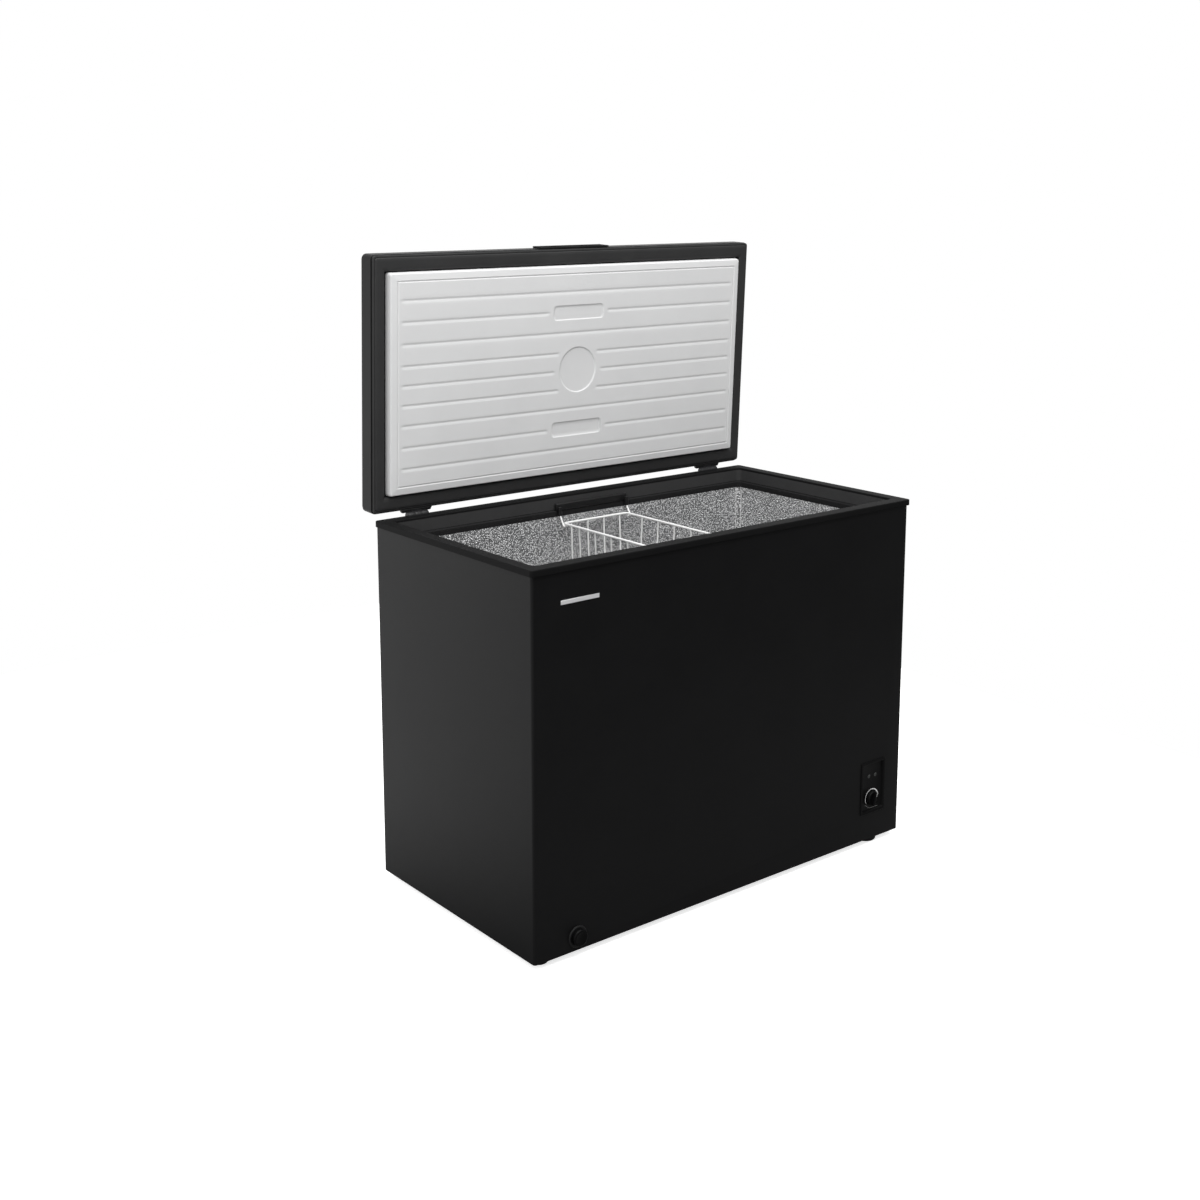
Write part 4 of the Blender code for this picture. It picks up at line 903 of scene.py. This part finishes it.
def hinge_barrel(name, side):
    """The knuckles round a hinge pin: a turned profile with two shallow splits, on the hinge axis."""
    half, r = 0.0250, 0.0085
    first = [(0, -half), (r, -half), (r, -0.0088), (r - 0.0010, -0.0084), (r, -0.0080)]
    profile = rounded(first + [(radius, -along) for radius, along in reversed(first)], 0.0004, 2)
    turned = lathe(profile, (side * HINGE_X, HINGE[1], HINGE[2]), "x", 36)
    piece(name, [turned], black_zinc, "zinc_steel", "cabinet")


# ------------------------------------------------------------ pieces
top_frame()
inner_tub()
fold_lines()
for spot in ("front_left", "rear_left", "front_right", "rear_right"):
    foot("foot_" + spot)
lid_liner()
lid_gasket()
lid_inner_frame()
basket()
bail("front", -1)
bail("rear", 1)
knob()
dial_print()
drain_cap()
springs_and_pipes()
hinge_barrel("hinge_barrel_left", -1)
hinge_barrel("hinge_barrel_right", 1)

for name, finish, slot, ease in (
    ("cabinet_wrap", paint, "black_paint", 0.0),
    ("back_panel", paint, "black_paint", 0.0003),
    ("compressor_cover", paint, "black_paint", 0.0004),
    ("side_vent", dark_plastic, "black_plastic", 0.0005),
    ("compressor", paint, "black_paint", 0.0006),
    ("compressor_relay", dark_plastic, "black_plastic", 0.0006),
    ("cord_gland", dark_plastic, "black_plastic", 0.0005),
    ("control_panel", gloss_plastic, "gloss_black_plastic", 0.0003),
    ("drain_socket", dark_plastic, "black_plastic", 0.0003),
    ("drain_plug", liner_plastic, "white_plastic", 0.0004),
    ("badge", silver, "silver_badge", 0.0003),
    ("rating_plate", silver, "silver_badge", 0.0002),
    ("lid_skin", paint, "black_paint", 0.0004),
    ("lid_handle", rim_plastic, "black_plastic", 0.0009),
    ("hinge_case_left", paint, "black_paint", 0.0006),
    ("hinge_case_right", paint, "black_paint", 0.0006),
    ("hinge_arm_left", black_zinc, "zinc_steel", 0.0003),
    ("hinge_arm_right", black_zinc, "zinc_steel", 0.0003),
    ("hinge_cover_left", dark_plastic, "black_plastic", 0.0008),
    ("hinge_cover_right", dark_plastic, "black_plastic", 0.0008),
):
    eased_copy(name, finish, slot, ease)

for name, finish in (
    ("foam_body", poured_foam),
    ("lid_foam", poured_foam),
    ("bottom_pan", zinc),
    ("compressor_base", zinc),
    ("thermostat", zinc),
    ("evaporator_coil", copper),
    ("condenser_coil", copper),
    ("suction_pipe", copper),
    ("discharge_pipe", copper),
    ("drain_tube", liner_plastic),
    ("hinge_pin_left", black_zinc),
    ("hinge_pin_right", black_zinc),
    ("power_lamp", lens_plastic),
    ("fast_freeze_lamp", lens_plastic),
    ("compressor_grommet_1", gasket_rubber),
    ("compressor_grommet_2", gasket_rubber),
    ("compressor_grommet_3", gasket_rubber),
    ("compressor_grommet_4", gasket_rubber),
):
    held = nodes[name].data.materials
    for index in range(len(held)):
        held[index] = finish

for i, (x, z) in enumerate(((0.310, 0.034), (0.505, 0.034), (0.310, 0.200), (0.505, 0.200))):
    screw(f"cover_screw_{i + 1}", (x, BACK + 0.0020, z), "y", "cabinet")
back_screws = ((-0.500, 0.740), (0.500, 0.740), (-0.500, 0.060), (0.150, 0.060), (-0.170, 0.060), (0.0, 0.740))
for i, (x, z) in enumerate(back_screws):
    screw(f"back_screw_{i + 1}", (x, BACK, z), "y", "cabinet")
for i, (side, dz) in enumerate(((-1, 0.020), (-1, 0.085), (1, 0.020), (1, 0.085))):
    screw(f"hinge_screw_{i + 1}", (side * HINGE_X, BACK + 0.0260, RIM_Z - 0.120 + dz), "y", "cabinet", 0.0042)


# ------------------------------------------------------------ floor, light and camera
def floor():
    """A pale matt floor. Its bounce rises from dim at the front right to bright at the back left."""
    points = level(outline(-2.2, 1.5, -1.7, 2.2, 0.5, 12), 0.0)
    mesh = bpy.data.meshes.new("studio_floor")
    mesh.from_pydata(points.tolist(), [], [list(range(len(points)))])
    made, tree, shader = new_finish("pale_matt_floor")
    path = node(tree, "ShaderNodeLightPath")
    where = node(tree, "ShaderNodeTexCoord")
    along = node(tree, "ShaderNodeVectorMath", {"operation": "DOT_PRODUCT"})
    along.inputs[1].default_value = (-0.6, 0.8, 0.0)
    tree.links.new(where.outputs["Object"], along.inputs[0])
    bounce = ranged(tree, along.outputs["Value"], (0.2, 0.9), 0.24, 0.85)
    shown = node(tree, "ShaderNodeMix", {"data_type": "RGBA"}, B=(0.97, 0.97, 0.97, 1.0))
    tree.links.new(bounce, shown.inputs["A"])
    tree.links.new(path.outputs["Is Camera Ray"], shown.inputs["Factor"])
    glow = between(tree, path.outputs["Is Camera Ray"], 0.0, 0.70)
    tree.links.new(shown.outputs["Result"], shader.inputs["Base Color"])
    tree.links.new(glow, shader.inputs["Emission Strength"])
    shader.inputs["Emission Color"].default_value = (1.0, 1.0, 1.0, 1.0)
    shader.inputs["Roughness"].default_value = 1.0
    shader.inputs["Specular IOR Level"].default_value = 0.0
    mesh.materials.append(made)
    obj = bpy.data.objects.new("studio_floor", mesh)
    bpy.context.scene.collection.objects.link(obj)


def soft_box(name, place, aim, size, power):
    """A large soft light that faces a point."""
    light = bpy.data.lights.new(name, "AREA")
    light.shape = "RECTANGLE"
    light.size, light.size_y = size
    light.energy = power
    obj = bpy.data.objects.new(name, light)
    bpy.context.scene.collection.objects.link(obj)
    obj.location = place
    obj.rotation_euler = (Vector(aim) - Vector(place)).to_track_quat("-Z", "Y").to_euler()


def surroundings():
    """White to the eye; for the light itself, white all round but dim low in front and to the right."""
    world = bpy.data.worlds.new("white_studio")
    bpy.context.scene.world = world
    world.use_nodes = True
    tree = world.node_tree
    back = tree.nodes["Background"]
    where = node(tree, "ShaderNodeTexCoord")
    dim = node(tree, "ShaderNodeVectorMath", {"operation": "DOT_PRODUCT"})
    dim.inputs[1].default_value = (0.60, -0.76, -0.25)
    path = node(tree, "ShaderNodeLightPath")
    pick = node(tree, "ShaderNodeMix", {"data_type": "FLOAT"}, B=1.0)
    tree.links.new(where.outputs["Generated"], dim.inputs[0])
    fall = ranged(tree, dim.outputs["Value"], (0.15, 0.95), 0.92, 0.12, {"interpolation_type": "SMOOTHSTEP"})
    tree.links.new(fall, pick.inputs["A"])
    tree.links.new(path.outputs["Is Camera Ray"], pick.inputs["Factor"])
    tree.links.new(pick.outputs["Result"], back.inputs["Strength"])
    back.inputs["Color"].default_value = (1.0, 1.0, 1.0, 1.0)


def camera():
    """The view: from the front left, a little above the rim."""
    lens = bpy.data.cameras.new("view")
    lens.lens, lens.sensor_width = 47.0, 36.0
    lens.shift_y = -0.125
    obj = bpy.data.objects.new("view", lens)
    bpy.context.scene.collection.objects.link(obj)
    obj.location = (-2.161, -2.5413, 1.4906)
    obj.rotation_euler = (radians(90 - 9.73), 0, radians(-38.70))
    bpy.context.scene.camera = obj


floor()
surroundings()
soft_box("sky_panel", (-0.4, -1.0, 3.2), (0, 0, 0.4), (3.0, 2.4), 95.0)
soft_box("left_panel", (-2.9, 2.0, 0.70), (-0.5, 0, 0.40), (2.6, 1.4), 13.0)
camera()
bpy.context.scene.view_settings.view_transform = "Standard"
